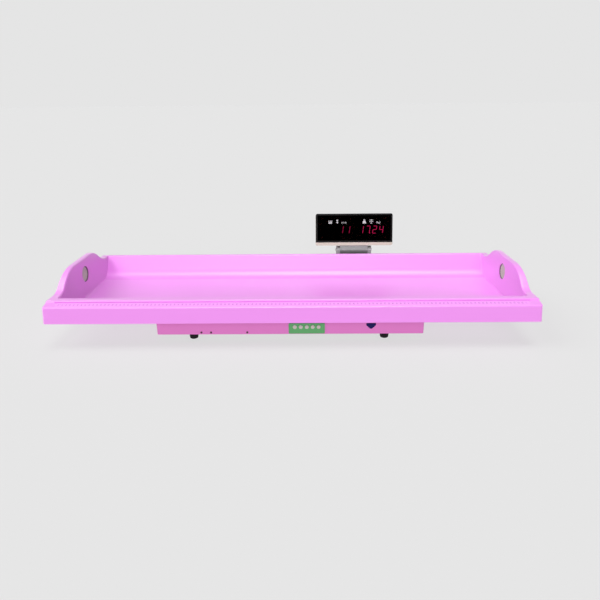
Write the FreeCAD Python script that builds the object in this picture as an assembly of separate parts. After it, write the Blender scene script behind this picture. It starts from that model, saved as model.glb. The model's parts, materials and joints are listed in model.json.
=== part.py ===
"""Infant weighing and measuring scale: a long moulded tray on a low sheet-steel base.

Millimetres, +Z up, +X to the right, +Y away from the user. The four feet stand on Z = 0,
and the origin lies under the middle of the overall length and depth.
"""
import FreeCAD
import Part

import math
import os

from FreeCAD import Vector

os.makedirs("parts", exist_ok=True)

# ---- Tray moulding -------------------------------------------------------------------
tray_length = 1280.0        # at the rim
tray_depth = 442.0
tray_skin = 4.0
end_width = 23.0            # each end is a hollow hump this wide at the rim
end_draft = 6.0             # degrees; the ends lean in on their way up
floor_drop = 51.0           # floor below the rim's front edge
skirt_height = 45.0         # front, back and end skirts, down from the rim's front edge
corner_radius = 8.0         # of the tray, seen from above
rim_edge_radius = 4.0        # where the outer faces meet the top, all the way round
bevel_width = 24.0          # sloped band that carries the ruler
bevel_rise = 5.5
lip_start = 27.5            # raised lip behind the ruler groove
lip_end = 50.0
lip_rise = 9.5
lip_radius = 4.0
lip_front_radius = 2.0
groove_start = 22.0
groove_width = 3.0
groove_depth = 1.6
groove_end_margin = 25.0
front_wall_run = 12.0       # how far the front wall leans back on its way to the floor
front_cove_radius = 20.0
back_wall_width = 12.0
back_wall_rise = 13.0
back_wall_run = 36.0        # how far the back wall leans back on its way up
back_cove_radius = 45.0
well_end_radius = 4.0       # floor and walls into the end walls
hump_rise = 59.0
hump_front_foot = 85.0      # corners of the hump's outline, before they are rounded
hump_front_top = 134.0
hump_rear_top = 326.0
hump_rear_foot = 388.0
hump_foot_radius = 45.0
hump_front_radius = 118.0
hump_rear_radius = 95.0
hump_edge_radius = 5.0
hump_edge_fade = 18.0       # the rounding runs out over this length

# ---- Ruler on the bevel --------------------------------------------------------------
ruler_length = 1214.0
ruler_width = 17.0
ruler_thickness = 0.6
ruler_recess = 0.5
ruler_offset = 4.0          # from the front edge, along the bevel
ruler_clearance = 0.1

# ---- Length sensors in the end humps -------------------------------------------------
sensor_bore_radius = 23.5
sensor_set_back = 240.0     # behind the tray's front face
sensor_rise = 13.0          # above the rim's front edge
sensor_fit = 0.1
ring_recess = 2.0           # behind the end wall's inner face
ring_wall = 1.5
ring_end = 10.5
ring_flange_radius = 27.5
ring_flange_thickness = 2.5
grille_recess = 3.5
grille_thickness = 1.0
transducer_length = 7.0
sensor_board_width = 44.0
sensor_board_height = 44.0

# ---- Weighing platform ---------------------------------------------------------------
pad_thickness = 3.0
pad_length = 90.0
pad_width = 40.0
pad_x = 130.0
pad_y = 92.0
platform_length = 572.0
platform_width = 252.0
platform_thickness = 3.0
platform_gap = 3.0          # over the base's top
platform_radius = 12.0
tray_screw_x = 235.0
tray_screw_y = 95.0
tray_boss_radius = 8.0
tray_screw_radius = 2.5
tray_screw_head_radius = 5.0
tray_screw_depth = 4.5      # into the boss and floor

# ---- Base ----------------------------------------------------------------------------
base_x = -5.5               # middle of the base from the middle of the tray
base_length = 720.0
base_depth = 375.0
base_height = 35.0
base_recess = 50.0          # behind the tray's front face
base_sheet = 1.5
base_corner_radius = 5.0
base_top_radius = 3.0
sheet_gap = 0.2             # between nested sheet parts
pan_flange_height = 11.0
pan_screw_rise = 5.6
pan_screw_radius = 1.5
pan_screw_head_radius = 3.0
pan_screw_head_height = 1.4
pan_screw_end = 1.5         # past the pan's flange
pan_screw_x = (-245.0, -219.0, -121.0)
rear_pan_screw_x = (-245.0, -121.0, 20.0)

# ---- Chassis, load cell and overload stops -------------------------------------------
chassis_thickness = 6.0
chassis_cross_width = 34.0
chassis_beam_width = 44.0
chassis_end_gap = 5.0
chassis_corner_radius = 4.0
cell_length = 130.0
cell_width = 28.0
cell_height = 18.0
cell_hole_radius = 6.5
cell_hole_spacing = 18.0
cell_slot_height = 4.3
cell_spacer_height = 2.5
cell_spacer_length = 38.0
cell_bolt_radius = 3.0
cell_bolt_head_radius = 5.0
cell_bolt_head_height = 3.2
cell_bolt_inset = 10.0      # outer bolt from the end of the cell
cell_bolt_pitch = 18.0
live_window_margin = 8.0
live_window_radius = 4.0
live_bolt_head_gap = 0.5
thread_clearance = 0.05
screw_end_gap = 1.0         # screws stop this short of the far face
weighing_travel = 0.5
stop_clearance = 0.1        # left over the stops at full travel
stop_radius = 3.0
stop_y = 100.0
stop_nut_flats = 10.0
stop_nut_height = 5.0
stop_hole_radius = 5.5

# ---- Feet ----------------------------------------------------------------------------
foot_height = 21.0
foot_top_radius = 13.7
foot_bottom_radius = 11.0
foot_edge_radius = 2.5
foot_inset = 26.0           # from the base's front and back
foot_x = (-271.5, 252.5)
foot_bore_radius = 4.8
foot_bore_depth = 11.0
foot_screw_radius = 2.0
foot_screw_head_radius = 4.0
foot_screw_head_height = 2.6

# ---- Electronics in the base ---------------------------------------------------------
board_thickness = 1.6
standoff_height = 6.0
standoff_radius = 3.0
board_hole_inset = 6.0
board_screw_radius = 1.5
board_screw_head_radius = 2.8
board_screw_head_height = 1.6
main_board_length = 150.0
main_board_width = 96.0
main_board_x = -170.0
main_board_y = 95.0         # from the base's middle, towards the back
power_board_length = 96.0
power_board_width = 64.0
power_board_x = 132.0
power_board_y = 88.0
# Tall parts on the boards: offsets in X and Y from the board's middle, length, width, height.
processor = (0.0, 0.0, 22.0, 22.0, 2.2)
connector = (-40.0, 32.0, 30.0, 8.0, 9.0)
converter = (38.0, -8.0, 16.0, 12.0, 3.0)
terminal = (40.0, 30.0, 34.0, 10.0, 11.0)
inductor = (-24.0, 4.0, 18.0, 18.0, 12.0)
capacitor = (6.0, 4.0, 12.0, 12.0, 16.0)
regulator = (28.0, -4.0, 14.0, 10.0, 8.0)

# ---- Key panel -----------------------------------------------------------------------
panel_x = 39.5
panel_length = 97.0
panel_height = 30.0
panel_drop = 2.0            # panel's lower edge above the base's lower edge
panel_thickness = 2.5
panel_radius = 3.0
panel_window_margin = 4.0
panel_window_radius = 1.0
key_count = 5
key_pitch = 16.0
key_rise = 21.5             # key centres above the base's lower edge
key_radius = 5.3
key_edge_radius = 1.0
key_clearance = 0.3
key_proud = 1.8
key_flange_radius = 6.2
key_flange_thickness = 1.4
key_stem_radius = 2.0
key_travel = 0.8
key_switch_gap = 0.05       # left over at the end of the stroke
key_switch_side = 6.0
key_switch_height = 4.0
key_post_radius = 2.4
key_post_gap = 0.3          # from the edges of the housing's window
key_board_gap = 9.0         # behind the panel's rear face
key_board_length = 94.0
key_board_height = 23.0
key_screw_radius = 1.2
key_screw_head_radius = 2.2
key_screw_head_height = 1.4
key_thread_end = 1.0        # from the panel's rear face
key_screw_end = 3.0         # from the panel's rear face

# ---- Blank badge ---------------------------------------------------------------------
badge_x = 212.0
badge_top_rise = 31.0       # above the base's lower edge
badge_length = 26.0
badge_height = 18.5         # to the point, before it is rounded
badge_side = 6.0            # straight part of each side
badge_thickness = 1.6
badge_corner_radius = 1.5
badge_shoulder_radius = 5.0
badge_point_radius = 6.0

# ---- Rear sockets --------------------------------------------------------------------
inlet_end_gap = 234.5       # middle from the base's right end
socket_rise = 17.0
inlet_flange_width = 16.0
inlet_flange_height = 14.0
inlet_body_width = 12.0
inlet_body_height = 11.0
inlet_body_depth = 14.0
inlet_bore_radius = 3.1
inlet_bore_depth = 10.0
inlet_pin_radius = 1.0
inlet_pin_recess = 1.0
socket_flange_thickness = 2.0
socket_wall_gap = 0.2
rocker_end_gap = 270.5      # middle from the base's right end
rocker_radius = 7.0
rocker_width = 11.0
rocker_gap = 0.4
rocker_tilt = 8.0
rocker_axis_depth = 2.2     # behind the frame's front face
rocker_vee_rise = 1.1       # bottom of the vee in its face, from the axis
rocker_vee_slope = 16.6     # degrees, each half of the face
rocker_pin_radius = 1.2
rocker_pin_length = 1.2
rocker_pin_fit = 0.06
rocker_pin_end_gap = 0.2
rocker_frame_margin = 1.5
rocker_frame_radius = 1.5
rocker_body_wall = 2.0
rocker_body_depth = 13.0

# ---- Display column ------------------------------------------------------------------
column_end_gap = 154.5      # middle from the base's right end
column_width = 116.0
column_depth = 34.0
column_wall = 2.5
column_radius = 5.0
column_set_back = 455.0     # column's front behind the tray's front face
column_foot_rise = 3.0      # column's lower end above the base's lower edge
arm_width = 100.0
arm_height = 26.0
arm_wall = 5.0
arm_bolt_x = 36.0
arm_bolt_z = 7.0
arm_bolt_radius = 3.0
arm_bolt_head_radius = 5.0
arm_bolt_head_height = 4.0
backing_width = 112.0
backing_height = 27.0
backing_thickness = 4.0
end_cap_thickness = 2.5
end_cap_plug = 8.0
end_cap_fit = 0.15
end_cap_bolt_room = 1.0

# ---- Saddle on the column ------------------------------------------------------------
saddle_flange = 4.0
saddle_cheek_thickness = 12.0
saddle_cheek_radius = 13.0
saddle_spigot_length = 20.0
saddle_spigot_fit = 0.2
saddle_spigot_wall = 4.0
saddle_screw_radius = 2.0
saddle_screw_head_radius = 3.6
saddle_screw_head_height = 2.0
saddle_screw_x = 30.0

# ---- Tilting joint -------------------------------------------------------------------
rest_tilt = 15.0            # display leans back this far
pivot_rise = 17.0           # above the rim's front edge
pivot_set_back = 473.7      # behind the tray's front face
pivot_radius = 3.0
pivot_fit = 0.05
pivot_grip = 15.0           # pivot screw's length inside the tilt block
pivot_head_radius = 5.0
pivot_head_height = 3.0
block_radius = 12.0
block_side_gap = 0.3
block_floor_gap = 0.6       # over the saddle's floor
block_screw_x = 18.0
block_screw_radius = 2.0
block_screw_head_radius = 3.8
block_screw_head_height = 2.4
block_screw_depth = 5.5

# ---- Display head, measured from the pivot -------------------------------------------
head_width = 255.0
head_depth = 42.0
head_bottom = 14.0
head_height = 105.0
head_corner_radius = 6.0
head_wall = 2.5
chin_height = 10.0
bezel_depth = 8.0
bezel_edge_radius = 1.5
bezel_border = 5.5
bezel_ledge = 3.0
window_thickness = 2.5
window_sink = 0.5
window_gap = 0.1
digit_pitch = 22.0
digits_per_readout = 4
digit_height = 33.0
digit_depth = 10.5
digit_gap = 0.5             # behind the window
digit_end_margin = 0.5
readout_rise = 52.0         # digit centres above the head's lower edge
length_readout_x = -52.5
weight_readout_x = 58.2
head_board_side_gap = 17.5  # from the case's sides
head_board_end_gap = 11.0   # from the bezel's top and bottom
head_post_radius = 3.5
head_post_inset = 5.0
head_post_thread = 8.0
head_board_screw_depth = 6.0
corner_post_radius = 3.6
corner_post_inset = 6.5     # from the case's sides
corner_post_drop = 10.0     # from the bezel's top and bottom
case_screw_radius = 1.5
case_screw_head_radius = 2.8
case_screw_head_height = 1.8
case_screw_depth = 12.0

# ---- Levels and places that follow from the above ------------------------------------
base_bottom = foot_height
base_top = base_bottom + base_height
platform_bottom = base_top + platform_gap
platform_top = platform_bottom + platform_thickness
tray_underside = platform_top + pad_thickness
floor_z = tray_underside + tray_skin
rim_z = floor_z + floor_drop
skirt_z = rim_z - skirt_height
pan_top = base_bottom + base_sheet
chassis_top = pan_top + chassis_thickness
cell_bottom = chassis_top + cell_spacer_height
cell_top = cell_bottom + cell_height

spare = 1.0                 # how far a cutting shape overshoots
flat = 0.01                 # an edge with less reach than this is square to that axis

tilt = math.radians(rest_tilt)
head_top = head_bottom + head_height
head_front = -head_depth / 2
overall_depth = (pivot_set_back + head_depth / 2 * math.cos(tilt)
                 + head_top * math.sin(tilt))
front_y = -overall_depth / 2
back_y = front_y + tray_depth
base_front = front_y + base_recess
base_back = base_front + base_depth
middle_y = (base_front + base_back) / 2
base_left = base_x - base_length / 2
base_right = base_x + base_length / 2
column_front = front_y + column_set_back
column_back = column_front + column_depth
pivot_y = front_y + pivot_set_back
inner_x = tray_length / 2 - end_width
sensor_y = front_y + sensor_set_back
sensor_z = rim_z + sensor_rise
key_z = base_bottom + key_rise
panel_z = base_bottom + panel_drop + panel_height / 2
key_board_front = base_front + key_board_gap
socket_z = base_bottom + socket_rise
arm_z = base_bottom + socket_rise
inlet_x = base_right - inlet_end_gap
rocker_x = base_right - rocker_end_gap
column_x = base_right - column_end_gap
column_half = column_width / 2
pivot_z = rim_z + pivot_rise
column_bottom = base_bottom + column_foot_rise
column_top = pivot_z - block_radius - block_floor_gap - saddle_flange
block_half_width = column_half - saddle_cheek_thickness - block_side_gap
bezel_bottom = head_bottom + chin_height
head_board_length = head_width - 2 * head_board_side_gap
head_board_low = bezel_bottom + head_board_end_gap
head_board_high = head_top - head_board_end_gap
foot_places = [(x, y) for x in foot_x
               for y in (base_front + foot_inset, base_back - foot_inset)]


# ---- Shapes used throughout ----------------------------------------------------------
def block(x0, x1, y0, y1, z0, z1):
    return Part.makeBox(x1 - x0, y1 - y0, z1 - z0, Vector(x0, y0, z0))


def rod(radius, length, x, y, z, direction):
    return Part.makeCylinder(radius, length, Vector(x, y, z), Vector(*direction))


UP, DOWN = (0, 0, 1), (0, 0, -1)
BACK, FORWARD = (0, 1, 0), (0, -1, 0)
RIGHT = (1, 0, 0)


def outline(corners, place):
    """Closed face through corners (u, v, radius), each rounded, put in space by place(u, v)."""
    points = [Vector(u, v, 0) for u, v, radius in corners]
    starts, middles, ends = [], [], []
    for i, (u, v, radius) in enumerate(corners):
        here = points[i]
        before = (points[i - 1] - here).normalize()
        after = (points[(i + 1) % len(points)] - here).normalize()
        if radius == 0:
            starts.append(here)
            middles.append(None)
            ends.append(here)
            continue
        half = before.getAngle(after) / 2
        reach = radius / math.tan(half)
        inward = (before + after).normalize()
        starts.append(here + before * reach)
        middles.append(here + inward * (radius / math.sin(half) - radius))
        ends.append(here + after * reach)
    edges = []
    for i, middle in enumerate(middles):
        start = place(starts[i].x, starts[i].y)
        end = place(ends[i].x, ends[i].y)
        if middle is not None:
            edges.append(Part.Arc(start, place(middle.x, middle.y), end).toShape())
        after = starts[(i + 1) % len(starts)]
        following = place(after.x, after.y)
        if (following - end).Length > 1e-6:
            edges.append(Part.LineSegment(end, following).toShape())
    return Part.Face(Part.Wire(edges))


def side_view(corners, x):
    return outline(corners, lambda u, v: Vector(x, u, v))


def lengthwise(corners, x0, x1):
    """Prism along X from an outline in Y and Z."""
    return side_view(corners, x0).extrude(Vector(x1 - x0, 0, 0))


def slab(x0, x1, y0, y1, z0, z1, radius):
    """Block with its upright edges rounded."""
    corners = [(x0, y0, radius), (x1, y0, radius), (x1, y1, radius), (x0, y1, radius)]
    face = outline(corners, lambda u, v: Vector(u, v, z0))
    return face.extrude(Vector(0, 0, z1 - z0))


def plate(x0, x1, z0, z1, y0, y1, radius):
    """Upright plate, rounded at the corners of its front view."""
    corners = [(x0, z0, radius), (x1, z0, radius), (x1, z1, radius), (x0, z1, radius)]
    face = outline(corners, lambda u, v: Vector(u, y0, v))
    return face.extrude(Vector(0, y1 - y0, 0))


def joined(shapes):
    whole = shapes[0].fuse(shapes[1:]) if len(shapes) > 1 else shapes[0]
    return whole.removeSplitter()


def group(shapes):
    """Separate solids kept together in one node."""
    return Part.makeCompound(shapes)


def screw(radius, head_radius, head_height, length, x, y, z, direction):
    """Pan-head screw whose head seats at x, y, z and whose shank runs along direction."""
    shank = rod(radius, length, x, y, z, direction)
    back = tuple(-c for c in direction)
    return shank.fuse(rod(head_radius, head_height, x, y, z, back)).removeSplitter()


def save(name, shape):
    shape.exportStep("parts/" + name + ".step")


# ---- Tray ----------------------------------------------------------------------------
def rim_outline(inset, low):
    """Side view of the tray's outside: skirt, ruler bevel, lip, end hump and back wall."""
    corners = [
        (front_y, low, 0),
        (front_y, rim_z, 0),
        (front_y + bevel_width, rim_z + bevel_rise, 0),
        (front_y + lip_start, rim_z + lip_rise, lip_front_radius),
        (front_y + hump_front_foot, rim_z + lip_rise, hump_foot_radius),
        (front_y + hump_front_top, rim_z + hump_rise, hump_front_radius),
        (front_y + hump_rear_top, rim_z + hump_rise, hump_rear_radius),
        (front_y + hump_rear_foot, rim_z + back_wall_rise, hump_rear_radius),
        (back_y, rim_z + back_wall_rise, 0),
        (back_y, low, 0),
    ]
    face = side_view(corners, -tray_length)
    return Part.Face(face.OuterWire.makeOffset2D(-inset)) if inset else face


def half_length(z, inset):
    """Half of the tray's length at a level, drawn in square to the leaning end faces."""
    draft = math.radians(end_draft)
    return tray_length / 2 - (z - rim_z) * math.tan(draft) - inset / math.cos(draft)


def tray_outside(inset):
    """Outer form of the tray, drawn in by inset and carried on below the skirts."""
    low = tray_underside - 4 * tray_skin
    high = rim_z + 2 * hump_rise
    wide = half_length(low, inset)
    narrow = half_length(high, inset)
    corners = [(-wide, low, 0), (wide, low, 0), (narrow, high, 0), (-narrow, high, 0)]
    ends = outline(corners, lambda u, v: Vector(u, front_y + inset, v))
    ends = ends.extrude(Vector(0, tray_depth - 2 * inset, 0))
    body = rim_outline(inset, low).extrude(Vector(2 * tray_length, 0, 0)).common(ends)
    corner_edges = [e for e in body.Edges
                    if e.BoundBox.YLength < flat and e.BoundBox.ZLength > tray_skin]
    return body.makeFillet(corner_radius - inset, corner_edges)


def is_wall(face):
    """True for faces that stand upright or lean only by the draft."""
    u0, u1, v0, v1 = face.ParameterRange
    lean = abs(face.normalAt((u0 + u1) / 2, (v0 + v1) / 2).z)
    return lean < math.sin(math.radians(2 * end_draft))


def tray_well(grow):
    """Space inside the tray, let out by grow: floor, coves, walls and all above the rim."""
    high = rim_z + 2 * hump_rise
    corners = [
        (front_y - spare, rim_z + lip_rise, 0),
        (front_y + lip_end, rim_z + lip_rise, lip_radius + tray_skin),
        (front_y + lip_end + front_wall_run, floor_z, front_cove_radius),
        (back_y - back_wall_width - back_wall_run, floor_z, back_cove_radius),
        (back_y - back_wall_width, rim_z + back_wall_rise, lip_radius + tray_skin),
        (back_y + spare, rim_z + back_wall_rise, 0),
        (back_y + spare, high, 0),
        (front_y - spare, high, 0),
    ]
    half = inner_x + grow
    face = side_view(corners, -half)
    if grow:
        face = Part.Face(face.OuterWire.makeOffset2D(grow))
    well = face.extrude(Vector(2 * half, 0, 0))
    low_edges = [e for e in well.Edges
                 if e.BoundBox.XLength < flat and e.BoundBox.ZMin < rim_z - tray_skin]
    return well.makeFillet(well_end_radius + grow, low_edges)


def along_bevel(distance, height):
    """Point on the ruler bevel's side view, distance up the slope and height above it."""
    slope = math.atan2(bevel_rise, bevel_width)
    return (front_y + distance * math.cos(slope) - height * math.sin(slope),
            rim_z + distance * math.sin(slope) + height * math.cos(slope))


def ruler_bar(margin, low, high):
    near, far = ruler_offset - margin, ruler_offset + ruler_width + margin
    ends = [(near, low), (far, low), (far, high), (near, high)]
    corners = [along_bevel(*end) + (0,) for end in ends]
    half = ruler_length / 2 + margin
    return lengthwise(corners, -half, half)


def tray_screw_places():
    return [(x, middle_y + y) for x in (-tray_screw_x, tray_screw_x)
            for y in (-tray_screw_y, tray_screw_y)]


def hump_edge_cutter(side):
    """What is taken off to round a hump's inner top edge, fading out towards lip and wall."""
    fade_reach = hump_edge_fade * math.tan(math.pi / 8)
    front_slope = math.atan2(hump_rise - lip_rise, hump_front_top - hump_front_foot)
    rear_slope = math.atan2(hump_rise - back_wall_rise, hump_rear_foot - hump_rear_top)
    front = (front_y + hump_front_foot - fade_reach
             - hump_foot_radius * math.tan(front_slope / 2))
    rear = (front_y + hump_rear_foot + fade_reach
            + hump_rear_radius * math.tan(rear_slope / 2))
    lip_z, wall_z = rim_z + lip_rise, rim_z + back_wall_rise
    rise = 2 * hump_rise
    corners = [
        (front - rise, lip_z + rise, 0),
        (front, lip_z, hump_edge_fade),
        (front_y + hump_front_foot, lip_z, hump_foot_radius),
        (front_y + hump_front_top, rim_z + hump_rise, hump_front_radius),
        (front_y + hump_rear_top, rim_z + hump_rise, hump_rear_radius),
        (front_y + hump_rear_foot, wall_z, hump_rear_radius),
        (rear, wall_z, hump_edge_fade),
        (rear + rise, wall_z + rise, 0),
        (rear + rise, floor_z, 0),
        (front - rise, floor_z, 0),
    ]
    low, high = sorted((side * inner_x, side * (inner_x + end_width)))
    hump = lengthwise(corners, low, high)
    edges = [e for e in hump.Edges
             if e.BoundBox.XLength < flat and abs(e.BoundBox.XMin - side * inner_x) < flat
             and e.BoundBox.ZMin > lip_z - spare and e.BoundBox.YLength > spare]
    hump = hump.makeFillet(hump_edge_radius, edges)
    low, high = sorted((side * inner_x, side * (inner_x + hump_edge_radius)))
    reach = rise - spare
    around = block(low, high, front - reach, rear + reach, lip_z - 2 * hump_edge_radius,
                   lip_z + reach)
    return around.cut(hump)


def tray_shell():
    outside = tray_outside(0)
    top_edges = [e for f in outside.Faces if is_wall(f) for e in f.Edges
                 if e.BoundBox.ZMin > rim_z - spare]
    outside = outside.makeFillet(rim_edge_radius, top_edges)
    skirts = outside.cut(tray_outside(tray_skin))
    below = block(-tray_length, tray_length, -tray_length, tray_length, -floor_z, skirt_z)
    skirts = skirts.cut(below)
    tub = tray_well(tray_skin).common(outside)
    shell = skirts.fuse(tub).cut(tray_well(0)).removeSplitter()
    shell = shell.cut([hump_edge_cutter(side) for side in (-1, 1)])
    groove_x = tray_length / 2 - groove_end_margin
    groove_z = rim_z + bevel_rise * groove_start / bevel_width - groove_depth
    groove = block(-groove_x, groove_x, front_y + groove_start,
                   front_y + groove_start + groove_width, groove_z, rim_z + hump_rise)
    recess = ruler_bar(ruler_clearance, -ruler_recess, lip_rise)
    bore_reach = inner_x + tray_skin + spare
    bores = rod(sensor_bore_radius, 2 * bore_reach, -bore_reach, sensor_y, sensor_z, RIGHT)
    bosses = [rod(tray_boss_radius, pad_thickness + tray_skin / 2, x, y, platform_top, UP)
              for x, y in tray_screw_places()]
    threads = [rod(tray_screw_radius + thread_clearance, tray_screw_depth + spare, x, y,
                   platform_top, UP) for x, y in tray_screw_places()]
    shell = shell.fuse(bosses).cut([groove, recess, bores] + threads)
    return shell.removeSplitter()


def ruler_strip():
    return ruler_bar(0, -ruler_recess, ruler_thickness - ruler_recess)


# ---- Length sensors ------------------------------------------------------------------
def sensor_rod(side, radius, start, length):
    """Round piece on one sensor's axis, start and length measured outwards from the wall."""
    x = side * (inner_x + start)
    return rod(radius, length, x, sensor_y, sensor_z, (side, 0, 0))


def sensor_ring(side):
    outer = sensor_bore_radius - sensor_fit
    sleeve = sensor_rod(side, outer, ring_recess, ring_end - ring_recess)
    flange = sensor_rod(side, ring_flange_radius, tray_skin, ring_flange_thickness)
    bore = sensor_rod(side, outer - ring_wall, 0, ring_end + spare)
    return sleeve.fuse(flange).cut(bore).removeSplitter()


def sensor_face_radius():
    return sensor_bore_radius - sensor_fit - ring_wall - sensor_fit


def sensor_grille(side):
    return sensor_rod(side, sensor_face_radius(), grille_recess, grille_thickness)


def transducer(side):
    return sensor_rod(side, sensor_face_radius(), grille_recess + grille_thickness,
                      transducer_length)


def sensor_board(side):
    x0 = inner_x + grille_recess + grille_thickness + transducer_length
    x1 = x0 + board_thickness
    low, high = (x0, x1) if side > 0 else (-x1, -x0)
    return block(low, high, sensor_y - sensor_board_width / 2,
                 sensor_y + sensor_board_width / 2, sensor_z - sensor_board_height / 2,
                 sensor_z + sensor_board_height / 2)


# ---- Platform under the tray ---------------------------------------------------------
def countersink(x, y, z, clearance):
    """Countersunk head from below: widest at z, running up to the shank."""
    wide = tray_screw_head_radius + clearance
    narrow = tray_screw_radius + clearance
    return Part.makeCone(wide, narrow, wide - narrow, Vector(x, y, z), Vector(0, 0, 1))


def live_bolt_x():
    outer = cell_length / 2 - cell_bolt_inset
    return [outer, outer - cell_bolt_pitch]


def platform():
    sheet = slab(-platform_length / 2, platform_length / 2, middle_y - platform_width / 2,
                 middle_y + platform_width / 2, platform_bottom, platform_top,
                 platform_radius)
    cuts = []
    for x, y in tray_screw_places():
        cuts.append(countersink(x, y, platform_bottom, thread_clearance))
        cuts.append(rod(tray_screw_radius + thread_clearance, platform_thickness, x, y,
                        platform_bottom, UP))
    for x in live_bolt_x():
        cuts.append(rod(cell_bolt_radius + thread_clearance, platform_thickness, x,
                        middle_y, platform_bottom, UP))
    return sheet.cut(cuts)


def tray_pads():
    return group([block(x - pad_length / 2, x + pad_length / 2, y - pad_width / 2,
                        y + pad_width / 2, platform_top, tray_underside)
                  for x in (-pad_x, pad_x)
                  for y in (middle_y - pad_y, middle_y + pad_y)])


def tray_screws():
    length = platform_thickness + tray_screw_depth
    return group([countersink(x, y, platform_bottom, 0).fuse(
        rod(tray_screw_radius, length, x, y, platform_bottom, UP)).removeSplitter()
        for x, y in tray_screw_places()])


# ---- Load cell and what bolts to it --------------------------------------------------
def load_cell():
    bar = block(-cell_length / 2, cell_length / 2, middle_y - cell_width / 2,
                middle_y + cell_width / 2, cell_bottom, cell_top)
    z = (cell_bottom + cell_top) / 2
    eyes = [rod(cell_hole_radius, cell_width, x, middle_y - cell_width / 2, z, BACK)
            for x in (-cell_hole_spacing / 2, cell_hole_spacing / 2)]
    slot = block(-cell_hole_spacing / 2, cell_hole_spacing / 2, middle_y - cell_width / 2,
                 middle_y + cell_width / 2, z - cell_slot_height / 2,
                 z + cell_slot_height / 2)
    holes = [rod(cell_bolt_radius + thread_clearance, cell_height, side * x, middle_y,
                 cell_bottom, UP) for side in (-1, 1) for x in live_bolt_x()]
    return bar.cut(eyes + [slot] + holes)


def cell_spacer(side, z0, z1):
    outer = cell_length / 2
    low, high = sorted((side * outer, side * (outer - cell_spacer_length)))
    body = block(low, high, middle_y - cell_width / 2, middle_y + cell_width / 2, z0, z1)
    holes = [rod(cell_bolt_radius + thread_clearance, z1 - z0, side * x, middle_y, z0, UP)
             for x in live_bolt_x()]
    return body.cut(holes)


def fixed_bolts():
    length = cell_height + cell_spacer_height + chassis_thickness - screw_end_gap
    return group([screw(cell_bolt_radius, cell_bolt_head_radius, cell_bolt_head_height,
                        length, -x, middle_y, cell_top, DOWN) for x in live_bolt_x()])


def live_bolts():
    length = platform_top - cell_top + cell_height - screw_end_gap
    head = pad_thickness - live_bolt_head_gap
    return group([screw(cell_bolt_radius, cell_bolt_head_radius, head, length, x, middle_y,
                        platform_top, DOWN) for x in live_bolt_x()])


# ---- Chassis and stops ---------------------------------------------------------------
def stop_places():
    return [(x, y) for x in foot_x
            for y in (middle_y - stop_y, middle_y + stop_y)]


def chassis():
    inset = 2 * base_sheet + sheet_gap + chassis_end_gap
    crosses = [slab(x - chassis_cross_width / 2, x + chassis_cross_width / 2,
                    base_front + inset, base_back - inset, pan_top, chassis_top,
                    chassis_corner_radius) for x in foot_x]
    beam = block(foot_x[0], foot_x[1], middle_y - chassis_beam_width / 2,
                 middle_y + chassis_beam_width / 2, pan_top, chassis_top)
    holes = [rod(stop_radius + thread_clearance, chassis_thickness, x, y, pan_top, UP)
             for x, y in stop_places()]
    holes += [rod(foot_screw_radius + thread_clearance, chassis_thickness, x, y, pan_top,
                  UP) for x, y in foot_places]
    holes += [rod(cell_bolt_radius + thread_clearance, chassis_thickness, -x, middle_y,
                  pan_top, UP) for x in live_bolt_x()]
    return joined(crosses + [beam]).cut(holes)


def stop_screws():
    top = platform_bottom - weighing_travel - stop_clearance
    return group([rod(stop_radius, top - pan_top, x, y, pan_top, UP)
                  for x, y in stop_places()])


def stop_nuts():
    reach = stop_nut_flats / math.sqrt(3)
    nuts = []
    for x, y in stop_places():
        ring = [Vector(x + reach * math.cos(math.radians(60 * i)),
                       y + reach * math.sin(math.radians(60 * i)), chassis_top)
                for i in range(7)]
        nut = Part.Face(Part.makePolygon(ring)).extrude(Vector(0, 0, stop_nut_height))
        nuts.append(nut.cut(rod(stop_radius + thread_clearance, stop_nut_height, x, y,
                                chassis_top, UP)))
    return group(nuts)


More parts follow.
